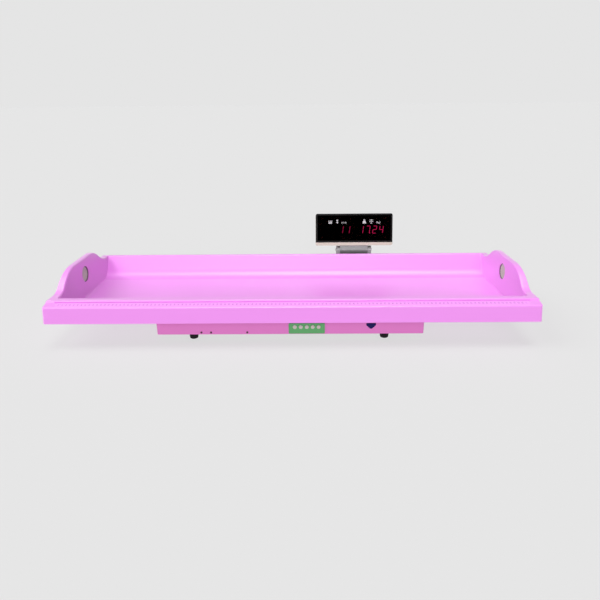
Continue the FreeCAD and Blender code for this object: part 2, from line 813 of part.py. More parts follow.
# ---- Base casing ---------------------------------------------------------------------
def base_housing():
    outside = slab(base_left, base_right, base_front, base_back, base_bottom, base_top,
                   base_corner_radius)
    top_edges = [e for e in outside.Edges if e.BoundBox.ZMin > base_top - flat]
    outside = outside.makeFillet(base_top_radius, top_edges)
    inside = slab(base_left + base_sheet, base_right - base_sheet, base_front + base_sheet,
                  base_back - base_sheet, base_bottom - spare, base_top - base_sheet,
                  base_corner_radius - base_sheet)
    span = [cell_length / 2 - cell_spacer_length - live_window_margin,
            cell_length / 2 + live_window_margin]
    half = cell_width / 2 + live_window_margin
    live_window = slab(span[0], span[1], middle_y - half, middle_y + half, cell_top,
                       base_top + spare, live_window_radius)
    stop_holes = [rod(stop_hole_radius, base_height, x, y, chassis_top, UP)
                  for x, y in stop_places()]
    margin = panel_window_margin
    panel_window = plate(panel_x - panel_length / 2 + margin,
                         panel_x + panel_length / 2 - margin,
                         panel_z - panel_height / 2 + margin,
                         panel_z + panel_height / 2 - margin, base_front - spare,
                         base_front + base_sheet + spare, panel_window_radius)
    front_holes = [rod(pan_screw_radius + thread_clearance, base_sheet + 2 * spare, x,
                       base_front - spare, base_bottom + pan_screw_rise, BACK)
                   for x in pan_screw_x]
    rear_holes = [rod(pan_screw_radius + thread_clearance, base_sheet + 2 * spare, x,
                      base_back + spare, base_bottom + pan_screw_rise, FORWARD)
                  for x in rear_pan_screw_x]
    wall = (base_back - base_sheet - spare, base_back + spare)
    inlet_hole = block(inlet_x - inlet_body_width / 2 - socket_wall_gap,
                       inlet_x + inlet_body_width / 2 + socket_wall_gap, wall[0], wall[1],
                       socket_z - inlet_body_height / 2 - socket_wall_gap,
                       socket_z + inlet_body_height / 2 + socket_wall_gap)
    half_x = rocker_body_half_width() + socket_wall_gap
    half_z = rocker_body_half_height() + socket_wall_gap
    rocker_hole = block(rocker_x - half_x, rocker_x + half_x, wall[0], wall[1],
                        socket_z - half_z, socket_z + half_z)
    bolt_holes = [rod(arm_bolt_radius + thread_clearance, base_sheet + 2 * spare, x,
                      wall[0], z, BACK) for x, z in arm_bolt_places()]
    return outside.cut([inside, live_window, panel_window, inlet_hole, rocker_hole]
                       + stop_holes + front_holes + rear_holes + bolt_holes)


def bottom_pan():
    gap = base_sheet + sheet_gap
    left, right = base_left + gap, base_right - gap
    near, far = base_front + gap, base_back - gap
    sheet = slab(left, right, near, far, base_bottom, pan_top, base_corner_radius - gap)
    inner = slab(left + base_sheet, right - base_sheet, near + base_sheet,
                 far - base_sheet, base_bottom, pan_top + pan_flange_height,
                 base_corner_radius - gap - base_sheet)
    wall = slab(left, right, near, far, base_bottom, base_bottom + pan_flange_height,
                base_corner_radius - gap).cut(inner)
    panel_gap = block(panel_x - panel_length / 2, panel_x + panel_length / 2,
                      near - spare, near + base_sheet + spare, pan_top, base_top)
    rear_gap = block(rocker_x - 2 * rocker_frame_half(), column_x + backing_width / 2 + spare,
                     far - base_sheet - spare, far + spare, pan_top, base_top)
    depth = base_sheet + 2 * spare
    front_threads = [rod(pan_screw_radius + thread_clearance, depth, x, near - spare,
                         base_bottom + pan_screw_rise, BACK) for x in pan_screw_x]
    rear_threads = [rod(pan_screw_radius + thread_clearance, depth, x, far + spare,
                        base_bottom + pan_screw_rise, FORWARD) for x in rear_pan_screw_x]
    foot_holes = [rod(foot_screw_radius + thread_clearance, base_sheet, x, y, base_bottom,
                      UP) for x, y in foot_places]
    walls = wall.cut([panel_gap, rear_gap])
    return sheet.fuse(walls).cut(front_threads + rear_threads + foot_holes).removeSplitter()


def pan_screws():
    length = 2 * base_sheet + sheet_gap + pan_screw_end
    z = base_bottom + pan_screw_rise
    front = [screw(pan_screw_radius, pan_screw_head_radius, pan_screw_head_height, length,
                   x, base_front, z, BACK) for x in pan_screw_x]
    rear = [screw(pan_screw_radius, pan_screw_head_radius, pan_screw_head_height, length,
                  x, base_back, z, FORWARD) for x in rear_pan_screw_x]
    return group(front + rear)


# ---- Feet ----------------------------------------------------------------------------
def rubber_feet():
    feet = []
    for x, y in foot_places:
        foot = Part.makeCone(foot_bottom_radius, foot_top_radius, foot_height,
                             Vector(x, y, 0), Vector(0, 0, 1))
        rim = [e for e in foot.Edges
               if e.BoundBox.ZMax < flat and e.BoundBox.XLength > foot_bottom_radius]
        foot = foot.makeFillet(foot_edge_radius, rim)
        bore = rod(foot_bore_radius, foot_bore_depth, x, y, 0, UP)
        hole = rod(foot_screw_radius + thread_clearance, foot_height, x, y, 0, UP)
        feet.append(foot.cut([bore, hole]))
    return group(feet)


def foot_screws():
    length = (foot_height - foot_bore_depth + base_sheet + chassis_thickness
              - screw_end_gap)
    return group([screw(foot_screw_radius, foot_screw_head_radius, foot_screw_head_height,
                        length, x, y, foot_bore_depth, UP) for x, y in foot_places])


# ---- Circuit boards in the base ------------------------------------------------------
def board_corners(x, y, length, width):
    dx, dy = length / 2 - board_hole_inset, width / 2 - board_hole_inset
    return [(x + i * dx, y + j * dy) for i in (-1, 1) for j in (-1, 1)]


def all_board_corners():
    return (board_corners(main_board_x, middle_y + main_board_y, main_board_length,
                          main_board_width)
            + board_corners(power_board_x, middle_y + power_board_y, power_board_length,
                            power_board_width))


def circuit_board(x, y, length, width, parts):
    """Bare board with its tallest parts: (dx, dy, length, width, height) from its middle."""
    z0 = pan_top + standoff_height
    z1 = z0 + board_thickness
    bare = block(x - length / 2, x + length / 2, y - width / 2, y + width / 2, z0, z1)
    raised = [block(x + dx - sx / 2, x + dx + sx / 2, y + dy - sy / 2, y + dy + sy / 2,
                    z1, z1 + h) for dx, dy, sx, sy, h in parts]
    holes = [rod(board_screw_radius + thread_clearance, board_thickness, cx, cy, z0, UP)
             for cx, cy in board_corners(x, y, length, width)]
    return joined([bare] + raised).cut(holes)


def main_board():
    return circuit_board(main_board_x, middle_y + main_board_y, main_board_length,
                         main_board_width, [processor, connector, converter, terminal])


def power_board():
    return circuit_board(power_board_x, middle_y + power_board_y, power_board_length,
                         power_board_width, [inductor, capacitor, regulator])


def board_standoffs():
    posts = []
    for x, y in all_board_corners():
        post = rod(standoff_radius, standoff_height, x, y, pan_top, UP)
        hole = rod(board_screw_radius + thread_clearance, standoff_height, x, y, pan_top, UP)
        posts.append(post.cut(hole))
    return group(posts)


def board_screws():
    top = pan_top + standoff_height + board_thickness
    length = board_thickness + standoff_height - screw_end_gap
    return group([screw(board_screw_radius, board_screw_head_radius,
                        board_screw_head_height, length, x, y, top, DOWN)
                  for x, y in all_board_corners()])


# ---- Key panel -----------------------------------------------------------------------
def key_places():
    first = panel_x - key_pitch * (key_count - 1) / 2
    return [first + key_pitch * i for i in range(key_count)]


def key_post_places():
    inset = panel_window_margin + key_post_gap + key_post_radius
    x = panel_length / 2 - inset
    z = panel_height / 2 - inset
    return [(panel_x + side * x, panel_z + up * z) for side in (-1, 1) for up in (-1, 1)]


def key_panel():
    face = plate(panel_x - panel_length / 2, panel_x + panel_length / 2,
                 panel_z - panel_height / 2, panel_z + panel_height / 2,
                 base_front - panel_thickness, base_front, panel_radius)
    posts = [rod(key_post_radius, key_board_gap, x, base_front, z, BACK)
             for x, z in key_post_places()]
    holes = [rod(key_radius + key_clearance, panel_thickness + 2 * spare, x,
                 base_front - panel_thickness - spare, key_z, BACK) for x in key_places()]
    threads = [rod(key_screw_radius + thread_clearance, key_board_gap - key_thread_end, x,
                   key_board_front, z, FORWARD) for x, z in key_post_places()]
    return face.fuse(posts).cut(holes + threads).removeSplitter()


def key(x):
    """Push key: cap through the panel, flange behind it, stem towards its switch."""
    front = base_front - panel_thickness - key_proud
    cap = rod(key_radius, panel_thickness + key_proud, x, front, key_z, BACK)
    front_edge = [e for e in cap.Edges if e.BoundBox.YMax < front + flat]
    cap = cap.makeFillet(key_edge_radius, front_edge)
    flange = rod(key_flange_radius, key_flange_thickness, x, base_front, key_z, BACK)
    stem_end = key_board_front - key_switch_height - key_travel - key_switch_gap
    stem = rod(key_stem_radius, stem_end - base_front, x, base_front, key_z, BACK)
    return joined([cap, flange, stem])


def key_switches():
    half = key_switch_side / 2
    return group([block(x - half, x + half, key_board_front - key_switch_height,
                        key_board_front, key_z - half, key_z + half)
                  for x in key_places()])


def key_board():
    board = block(panel_x - key_board_length / 2, panel_x + key_board_length / 2,
                  key_board_front, key_board_front + board_thickness,
                  panel_z - key_board_height / 2, panel_z + key_board_height / 2)
    holes = [rod(key_screw_radius + thread_clearance, board_thickness, x, key_board_front,
                 z, BACK) for x, z in key_post_places()]
    return board.cut(holes)


def key_board_screws():
    y = key_board_front + board_thickness
    length = board_thickness + key_board_gap - key_screw_end
    return group([screw(key_screw_radius, key_screw_head_radius, key_screw_head_height,
                        length, x, y, z, FORWARD) for x, z in key_post_places()])


def badge():
    """Small plate with a straight top and sides that run down to a rounded point."""
    left, right = badge_x - badge_length / 2, badge_x + badge_length / 2
    top = base_bottom + badge_top_rise
    shoulder = top - badge_side
    corners = [(left, top, badge_corner_radius),
               (left, shoulder, badge_shoulder_radius),
               (badge_x, top - badge_height, badge_point_radius),
               (right, shoulder, badge_shoulder_radius),
               (right, top, badge_corner_radius)]
    face = outline(corners, lambda u, v: Vector(u, base_front - badge_thickness, v))
    return face.extrude(Vector(0, badge_thickness, 0))


# ---- Power inlet and rocker switch ---------------------------------------------------
def power_inlet():
    flange = block(inlet_x - inlet_flange_width / 2, inlet_x + inlet_flange_width / 2,
                   base_back, base_back + socket_flange_thickness,
                   socket_z - inlet_flange_height / 2, socket_z + inlet_flange_height / 2)
    body = block(inlet_x - inlet_body_width / 2, inlet_x + inlet_body_width / 2,
                 base_back - inlet_body_depth, base_back, socket_z - inlet_body_height / 2,
                 socket_z + inlet_body_height / 2)
    mouth = base_back + socket_flange_thickness
    bore = rod(inlet_bore_radius, inlet_bore_depth, inlet_x, mouth, socket_z, FORWARD)
    pin = rod(inlet_pin_radius, inlet_bore_depth - inlet_pin_recess, inlet_x,
              mouth - inlet_pin_recess, socket_z, FORWARD)
    return flange.fuse(body).cut(bore).fuse(pin).removeSplitter()


def rocker_body_half_width():
    return rocker_width / 2 + rocker_gap + rocker_body_wall


def rocker_body_half_height():
    return rocker_radius + rocker_gap + rocker_body_wall


def rocker_frame_half():
    return rocker_body_half_height() + 2 * rocker_frame_margin


def rocker_axis_y():
    return base_back + socket_flange_thickness - rocker_axis_depth


def rocker_frame():
    margin = rocker_frame_margin
    half_x = rocker_body_half_width()
    half_z = rocker_body_half_height()
    flange = plate(rocker_x - half_x - margin, rocker_x + half_x + margin,
                   socket_z - half_z - margin, socket_z + half_z + margin, base_back,
                   base_back + socket_flange_thickness, rocker_frame_radius)
    body = block(rocker_x - half_x, rocker_x + half_x, base_back - rocker_body_depth,
                 base_back, socket_z - half_z, socket_z + half_z)
    cavity_x = rocker_width / 2 + rocker_gap
    cavity_z = rocker_radius + rocker_gap
    cavity = block(rocker_x - cavity_x, rocker_x + cavity_x,
                   rocker_axis_y() - rocker_radius - rocker_gap,
                   base_back + socket_flange_thickness + spare, socket_z - cavity_z,
                   socket_z + cavity_z)
    pins = rod(rocker_pin_radius + rocker_pin_fit,
               2 * (cavity_x + rocker_pin_length), rocker_x - cavity_x - rocker_pin_length,
               rocker_axis_y(), socket_z, RIGHT)
    return flange.fuse(body).cut([cavity, pins]).removeSplitter()


def rocker():
    """Rocker drum with a shallow vee in its face, pressed in at the top."""
    y = rocker_axis_y()
    drum = rod(rocker_radius, rocker_width, rocker_x - rocker_width / 2, y, socket_z, RIGHT)
    reach = 2 * rocker_radius
    bottom = y + rocker_vee_rise
    edge = bottom + reach * math.tan(math.radians(rocker_vee_slope))
    vee = [(bottom, socket_z, 0),
           (edge, socket_z + reach, 0),
           (y + reach, socket_z + reach, 0),
           (y + reach, socket_z - reach, 0),
           (edge, socket_z - reach, 0)]
    face = lengthwise(vee, rocker_x - rocker_width, rocker_x + rocker_width)
    half_pin = rocker_width / 2 + rocker_gap + rocker_pin_length - rocker_pin_end_gap
    pins = rod(rocker_pin_radius, 2 * half_pin, rocker_x - half_pin, y, socket_z, RIGHT)
    drum = drum.cut(face).fuse(pins).removeSplitter()
    drum.rotate(Vector(rocker_x, y, socket_z), Vector(1, 0, 0), rocker_tilt)
    return drum


# ---- Display column and its arm ------------------------------------------------------
def arm_bolt_places():
    return [(column_x + side * arm_bolt_x, arm_z + up * arm_bolt_z)
            for side in (-1, 1) for up in (-1, 1)]


def column_arm():
    """Short box-section spacer between the base's back wall and the column."""
    box = block(column_x - arm_width / 2, column_x + arm_width / 2, base_back,
                column_front, arm_z - arm_height / 2, arm_z + arm_height / 2)
    hollow = block(column_x - arm_bolt_x + 2 * arm_wall, column_x + arm_bolt_x - 2 * arm_wall,
                   base_back + arm_wall, column_front - arm_wall, arm_z - arm_height,
                   arm_z + arm_height)
    holes = [rod(arm_bolt_radius + thread_clearance, column_front - base_back, x, base_back,
                 z, BACK) for x, z in arm_bolt_places()]
    return box.cut([hollow] + holes)


def arm_backing():
    back = base_back - base_sheet
    sheet = block(column_x - backing_width / 2, column_x + backing_width / 2,
                  back - backing_thickness, back, arm_z - backing_height / 2,
                  arm_z + backing_height / 2)
    holes = [rod(arm_bolt_radius + thread_clearance, backing_thickness, x,
                 back - backing_thickness, z, BACK) for x, z in arm_bolt_places()]
    return sheet.cut(holes)


def column():
    outside = slab(column_x - column_half, column_x + column_half, column_front,
                   column_back, column_bottom, column_top, column_radius)
    inside = slab(column_x - column_half + column_wall,
                  column_x + column_half - column_wall, column_front + column_wall,
                  column_back - column_wall, column_bottom - spare, column_top + spare,
                  column_radius - column_wall)
    bolt_holes = [rod(arm_bolt_radius + thread_clearance, column_depth, x, column_front, z,
                      BACK) for x, z in arm_bolt_places()]
    z = column_top - saddle_spigot_length / 2
    screw_holes = [rod(saddle_screw_radius + thread_clearance, column_wall, column_x + x,
                       column_back - column_wall, z, BACK)
                   for x in (-saddle_screw_x, saddle_screw_x)]
    return outside.cut([inside] + bolt_holes + screw_holes)


def arm_bolts():
    length = (column_back - base_back) + base_sheet + backing_thickness
    return group([screw(arm_bolt_radius, arm_bolt_head_radius, arm_bolt_head_height, length,
                        x, column_back, z, FORWARD) for x, z in arm_bolt_places()])


def column_end_cap():
    cover = slab(column_x - column_half, column_x + column_half, column_front,
                 column_back, column_bottom - end_cap_thickness, column_bottom,
                 column_radius)
    inset = column_wall + end_cap_fit
    plug = slab(column_x - column_half + inset, column_x + column_half - inset,
                column_front + inset, column_back - inset, column_bottom,
                column_bottom + end_cap_plug, column_radius - column_wall)
    hollow = slab(column_x - column_half + 2 * inset, column_x + column_half - 2 * inset,
                  column_front + 2 * inset, column_back - 2 * inset, column_bottom,
                  column_bottom + end_cap_plug, column_radius - column_wall)
    bolt_room = [rod(arm_bolt_radius + end_cap_bolt_room, column_depth, x, column_front, z,
                     BACK) for x, z in arm_bolt_places()]
    return cover.fuse(plug).cut([hollow] + bolt_room).removeSplitter()


def saddle_cheek(side):
    """Upright plate, flush with the column's side, rounded about the pivot at its top."""
    inner = column_half - saddle_cheek_thickness
    low, high = sorted((side * inner, side * column_half))
    stand = block(column_x + low, column_x + high, pivot_y - saddle_cheek_radius,
                  pivot_y + saddle_cheek_radius, column_top, pivot_z)
    top = rod(saddle_cheek_radius, saddle_cheek_thickness, column_x + side * inner, pivot_y,
              pivot_z, (side, 0, 0))
    return stand.fuse(top)


def saddle_bracket():
    flange = slab(column_x - column_half, column_x + column_half, column_front,
                  column_back, column_top, column_top + saddle_flange, column_radius)
    inset = column_wall + saddle_spigot_fit
    spigot = slab(column_x - column_half + inset, column_x + column_half - inset,
                  column_front + inset, column_back - inset,
                  column_top - saddle_spigot_length, column_top, column_radius - column_wall)
    deep = inset + saddle_spigot_wall
    lead_way = slab(column_x - column_half + deep, column_x + column_half - deep,
                    column_front + deep, column_back - deep,
                    column_top - saddle_spigot_length - spare, column_top,
                    column_radius - column_wall)
    cheeks = [saddle_cheek(side) for side in (-1, 1)]
    pivot_hole = rod(pivot_radius + thread_clearance, 2 * column_width,
                     column_x - column_width, pivot_y, pivot_z, RIGHT)
    z = column_top - saddle_spigot_length / 2
    threads = [rod(saddle_screw_radius + thread_clearance, saddle_spigot_wall + 2 * spare,
                   column_x + x, column_back - deep - spare, z, BACK)
               for x in (-saddle_screw_x, saddle_screw_x)]
    return joined([flange, spigot.cut(lead_way)] + cheeks).cut([pivot_hole] + threads)


def saddle_screws():
    z = column_top - saddle_spigot_length / 2
    length = column_wall + saddle_spigot_fit + saddle_spigot_wall - screw_end_gap
    return group([screw(saddle_screw_radius, saddle_screw_head_radius,
                        saddle_screw_head_height, length, column_x + x, column_back, z,
                        FORWARD) for x in (-saddle_screw_x, saddle_screw_x)])


def pivot_screws():
    length = saddle_cheek_thickness + block_side_gap + pivot_grip
    return group([screw(pivot_radius, pivot_head_radius, pivot_head_height, length,
                        column_x + side * column_half, pivot_y, pivot_z, (-side, 0, 0))
                  for side in (-1, 1)])


# ---- Display head, drawn upright about the pivot and then leaned back ----------------
def leaned(shape):
    """Carries a shape drawn about the pivot, face to -Y, to its place on the column."""
    shape.rotate(Vector(0, 0, 0), Vector(1, 0, 0), -rest_tilt)
    shape.translate(Vector(column_x, pivot_y, pivot_z))
    return shape


def tilt_block():
    half = block_half_width
    body = block(-half, half, -block_radius, block_radius, 0, head_bottom)
    barrel = rod(block_radius, 2 * half, -half, 0, 0, RIGHT)
    pins = rod(pivot_radius + pivot_fit, 4 * half, -2 * half, 0, 0, RIGHT)
    solid = half - pivot_grip - spare
    keep = block(-solid, solid, -block_radius, block_radius, -block_radius, block_radius)
    threads = [rod(block_screw_radius + thread_clearance, block_screw_depth + spare, x, 0,
                   head_bottom, DOWN) for x in (-block_screw_x, block_screw_x)]
    return leaned(joined([body, barrel]).cut([pins.cut(keep)] + threads))


def block_screws():
    seat = head_bottom + head_wall
    return leaned(group([screw(block_screw_radius, block_screw_head_radius,
                               block_screw_head_height, head_wall + block_screw_depth, x, 0,
                               seat, DOWN) for x in (-block_screw_x, block_screw_x)]))


def corner_post_places():
    x = head_width / 2 - corner_post_inset
    return [(side * x, z) for side in (-1, 1)
            for z in (bezel_bottom + corner_post_drop, head_top - corner_post_drop)]


def board_post_places():
    x = head_board_length / 2 - head_post_inset
    return [(side * x, z) for side in (-1, 1)
            for z in (head_board_low + head_post_inset, head_board_high - head_post_inset)]


def head_board_front():
    return head_front + window_sink + window_thickness + digit_gap + digit_depth


def rear_case():
    half = head_width / 2
    back = head_depth / 2
    seam = head_front + bezel_depth
    shell = plate(-half, half, head_bottom, head_top, head_front, back, head_corner_radius)
    above_chin = block(-half - spare, half + spare, head_front - spare, seam, bezel_bottom,
                       head_top + spare)
    hollow = plate(-half + head_wall, half - head_wall, head_bottom + head_wall,
                   head_top - head_wall, head_front + head_wall, back - head_wall,
                   head_corner_radius - head_wall)
    board_back = head_board_front() + board_thickness
    posts = [rod(head_post_radius, back - head_wall - board_back, x, board_back, z, BACK)
             for x, z in board_post_places()]
    threads = [rod(board_screw_radius + thread_clearance, head_post_thread, x, board_back, z,
                   BACK) for x, z in board_post_places()]
    holes = [rod(case_screw_radius + thread_clearance, head_wall + 2 * spare, x,
                 back + spare, z, FORWARD) for x, z in corner_post_places()]
    screw_ways = [rod(block_screw_radius + thread_clearance, head_wall + 2 * spare, x, 0,
                      head_bottom - spare, UP) for x in (-block_screw_x, block_screw_x)]
    shell = shell.cut([above_chin, hollow])
    return leaned(shell.fuse(posts).cut(threads + holes + screw_ways).removeSplitter())


def front_bezel():
    half = head_width / 2
    seam = head_front + bezel_depth
    corners = [(-half, bezel_bottom, 0), (half, bezel_bottom, 0),
               (half, head_top, head_corner_radius), (-half, head_top, head_corner_radius)]
    frame = outline(corners, lambda u, v: Vector(u, head_front, v))
    frame = frame.extrude(Vector(0, bezel_depth, 0))
    rim = [e for e in frame.Edges
           if e.BoundBox.YMax < head_front + flat and e.BoundBox.ZMax > bezel_bottom + spare]
    frame = frame.makeFillet(bezel_edge_radius, rim)
    border = bezel_border
    opening = block(-half + border, half - border, head_front - spare,
                    head_front + window_sink + window_thickness, bezel_bottom + border,
                    head_top - border)
    inner = bezel_border + bezel_ledge
    through = block(-half + inner, half - inner, head_front, seam + spare,
                    bezel_bottom + inner, head_top - inner)
    posts = [rod(corner_post_radius, head_depth - bezel_depth - head_wall, x, seam, z, BACK)
             for x, z in corner_post_places()]
    end = head_depth / 2 - head_wall
    threads = [rod(case_screw_radius + thread_clearance, case_screw_depth + spare, x, end,
                   z, FORWARD) for x, z in corner_post_places()]
    return leaned(frame.cut([opening, through]).fuse(posts).cut(threads).removeSplitter())


def window():
    gap = bezel_border + window_gap
    front = head_front + window_sink
    return leaned(block(-head_width / 2 + gap, head_width / 2 - gap, front,
                        front + window_thickness, bezel_bottom + gap, head_top - gap))


def readout(middle):
    half = digit_pitch * digits_per_readout / 2 + digit_end_margin
    z = head_bottom + readout_rise
    back = head_board_front()
    return leaned(block(middle - half, middle + half, back - digit_depth, back,
                        z - digit_height / 2, z + digit_height / 2))


def head_board():
    front = head_board_front()
    board = block(-head_board_length / 2, head_board_length / 2, front,
                  front + board_thickness, head_board_low, head_board_high)
    holes = [rod(board_screw_radius + thread_clearance, board_thickness, x, front, z, BACK)
             for x, z in board_post_places()]
    return leaned(board.cut(holes))


def head_board_screws():
    return leaned(group([screw(board_screw_radius, board_screw_head_radius,
                               board_screw_head_height,
                               board_thickness + head_board_screw_depth, x,
                               head_board_front(), z, BACK)
                         for x, z in board_post_places()]))


def case_screws():
    return leaned(group([screw(case_screw_radius, case_screw_head_radius,
                               case_screw_head_height, head_wall + case_screw_depth, x,
                               head_depth / 2, z, FORWARD)
                         for x, z in corner_post_places()]))


# ---- Every node ----------------------------------------------------------------------
def build():
    save("tray_shell", tray_shell())
    save("ruler_strip", ruler_strip())
    for name, side in (("left", -1), ("right", 1)):
        save(name + "_sensor_ring", sensor_ring(side))
        save(name + "_sensor_grille", sensor_grille(side))
        save(name + "_transducer", transducer(side))
    save("sensor_boards", group([sensor_board(side) for side in (-1, 1)]))
    save("platform", platform())
    save("tray_pads", tray_pads())
    save("tray_screws", tray_screws())
    save("load_cell", load_cell())
    save("fixed_spacer", cell_spacer(-1, chassis_top, cell_bottom))
    save("live_spacer", cell_spacer(1, cell_top, platform_bottom))
    save("fixed_bolts", fixed_bolts())
    save("live_bolts", live_bolts())
    save("chassis", chassis())
    save("stop_screws", stop_screws())
    save("stop_nuts", stop_nuts())
    save("base_housing", base_housing())
    save("bottom_pan", bottom_pan())
    save("pan_screws", pan_screws())
    save("rubber_feet", rubber_feet())
    save("foot_screws", foot_screws())
    save("main_board", main_board())
    save("power_board", power_board())
    save("board_standoffs", board_standoffs())
    save("board_screws", board_screws())
    save("key_panel", key_panel())
    for number, x in enumerate(key_places(), 1):
        save("key_%d" % number, key(x))
    save("key_switches", key_switches())
    save("key_board", key_board())
    save("key_board_screws", key_board_screws())
    save("badge", badge())
    save("power_inlet", power_inlet())
    save("rocker_frame", rocker_frame())
    save("rocker", rocker())
    save("column_arm", column_arm())
    save("arm_backing", arm_backing())
    save("column", column())
    save("arm_bolts", arm_bolts())
    save("column_end_cap", column_end_cap())
    save("saddle_bracket", saddle_bracket())
    save("saddle_screws", saddle_screws())
    save("pivot_screws", pivot_screws())
    save("tilt_block", tilt_block())
    save("block_screws", block_screws())
    save("rear_case", rear_case())
    save("front_bezel", front_bezel())
    save("window", window())
    save("length_readout", readout(length_readout_x))
    save("weight_readout", readout(weight_readout_x))
    save("head_board", head_board())
    save("head_board_screws", head_board_screws())
    save("case_screws", case_screws())


build()
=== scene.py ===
import json
import math

import bmesh
import bpy
from mathutils import Matrix, Vector


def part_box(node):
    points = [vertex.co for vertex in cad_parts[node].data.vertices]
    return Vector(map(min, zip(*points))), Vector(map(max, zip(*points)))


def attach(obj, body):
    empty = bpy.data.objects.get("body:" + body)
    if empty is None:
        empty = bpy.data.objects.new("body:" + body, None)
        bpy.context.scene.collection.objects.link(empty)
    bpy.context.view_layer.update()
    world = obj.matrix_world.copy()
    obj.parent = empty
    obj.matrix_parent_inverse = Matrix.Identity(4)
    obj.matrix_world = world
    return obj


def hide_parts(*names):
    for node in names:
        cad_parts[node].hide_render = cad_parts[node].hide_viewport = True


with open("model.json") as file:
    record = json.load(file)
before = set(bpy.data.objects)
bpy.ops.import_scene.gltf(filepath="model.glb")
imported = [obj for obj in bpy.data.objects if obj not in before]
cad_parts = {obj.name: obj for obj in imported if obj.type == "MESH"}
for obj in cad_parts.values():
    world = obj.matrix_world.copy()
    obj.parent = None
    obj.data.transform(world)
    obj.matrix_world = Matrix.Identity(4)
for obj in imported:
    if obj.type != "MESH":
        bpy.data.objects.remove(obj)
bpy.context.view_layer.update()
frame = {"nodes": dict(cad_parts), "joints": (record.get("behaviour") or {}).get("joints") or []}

# ---- Viewpoint -----------------------------------------------------------------------
# Someone standing in front of the scale looks down into the tray from here.
view_distance = 1.227       # metres in front of the tray's front face
view_height = 0.613         # above the table
view_offset = 0.035         # right of the tray's middle
view_pitch = math.radians(21.14)
view_roll = math.radians(-0.53)
view_yaw = math.radians(-0.58)
view_lens = 31.2            # millimetres
film_back = 36.0            # width of the camera's sensor, millimetres
clip_range = (0.01, 200.0)

tray_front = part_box("tray_shell")[0].y
forward = Vector((math.sin(view_yaw) * math.cos(view_pitch),
                  math.cos(view_yaw) * math.cos(view_pitch), -math.sin(view_pitch)))
level = Vector((math.cos(view_yaw), -math.sin(view_yaw), 0))
upright = level.cross(forward)
across = level * math.cos(view_roll) + upright * math.sin(view_roll)
upright = upright * math.cos(view_roll) - level * math.sin(view_roll)
camera = bpy.data.objects.new("camera", bpy.data.cameras.new("camera"))
camera.data.lens = view_lens
camera.data.sensor_width = film_back
camera.data.clip_start, camera.data.clip_end = clip_range
turned = Matrix((across, upright, -forward)).transposed().to_4x4()
camera.matrix_world = Matrix.Translation(
    (view_offset, tray_front - view_distance, view_height)) @ turned
scene = bpy.context.scene
scene.collection.objects.link(camera)
scene.camera = camera
scene.view_settings.view_transform = "Standard"

# ---- Studio --------------------------------------------------------------------------
# A pale translucent table, lit from below as well, runs out to a backdrop of its own
# tone. One soft lamp stands to the left, one hangs above and a wide fill stands in front.
backdrop = (0.783, 0.783, 0.783)
table_glow = 0.80           # share of the table's tone that comes through from below
ambient = 0.16              # strength of the even light from all around
table_reach = 60.0          # metres each way
table_drop = 0.0002         # clear of the feet
lamps = (                   # name, strength, spread in degrees, where the light comes from
    ("key_left", 1.50, 36, (-0.70, -0.12, 0.70)),
    ("overhead", 1.32, 32, (0.05, -0.15, 0.99)),
    ("front_fill", 1.52, 30, (-0.05, -0.93, 0.36)),
)

world = bpy.data.worlds.new("studio")
scene.world = world
world.use_nodes = True
air = world.node_tree
air.nodes.clear()
even = air.nodes.new("ShaderNodeBackground")
even.inputs["Strength"].default_value = ambient
seen = air.nodes.new("ShaderNodeBackground")
seen.inputs["Color"].default_value = (*backdrop, 1)
path = air.nodes.new("ShaderNodeLightPath")
shown = path.outputs["Is Camera Ray"]
for ray in ("Is Glossy Ray", "Is Transmission Ray"):
    either = air.nodes.new("ShaderNodeMath")
    either.operation = "MAXIMUM"
    air.links.new(shown, either.inputs[0])
    air.links.new(path.outputs[ray], either.inputs[1])
    shown = either.outputs[0]
choose = air.nodes.new("ShaderNodeMixShader")
air.links.new(shown, choose.inputs[0])
air.links.new(even.outputs[0], choose.inputs[1])
air.links.new(seen.outputs[0], choose.inputs[2])
surface = air.nodes.new("ShaderNodeOutputWorld")
air.links.new(choose.outputs[0], surface.inputs["Surface"])

for name, strength, spread, source in lamps:
    lamp = bpy.data.objects.new(name, bpy.data.lights.new(name, "SUN"))
    lamp.data.energy = strength
    lamp.data.angle = math.radians(spread)
    lamp.rotation_euler = Vector(source).to_track_quat("Z", "Y").to_euler()
    scene.collection.objects.link(lamp)


def grain_group():
    """Skin of a moulded, cast or painted surface: fine bumps, and slow drifts of tone."""
    group = bpy.data.node_groups.new("surface_grain", "ShaderNodeTree")
    for name, kind in (("Vector", "NodeSocketVector"), ("Fineness", "NodeSocketFloat"),
                       ("Drift", "NodeSocketFloat")):
        group.interface.new_socket(name, in_out="INPUT", socket_type=kind)
    for name in ("Height", "Tone"):
        group.interface.new_socket(name, in_out="OUTPUT", socket_type="NodeSocketFloat")
    given = group.nodes.new("NodeGroupInput")
    result = group.nodes.new("NodeGroupOutput")
    bump_detail, tone_detail = 3, 5
    for scale, output, detail in (("Fineness", "Height", bump_detail),
                                  ("Drift", "Tone", tone_detail)):
        noise = group.nodes.new("ShaderNodeTexNoise")
        noise.inputs["Detail"].default_value = detail
        group.links.new(given.outputs["Vector"], noise.inputs["Vector"])
        group.links.new(given.outputs[scale], noise.inputs["Scale"])
        group.links.new(noise.outputs["Fac"], result.inputs[output])
    return group


surface_grain = grain_group()


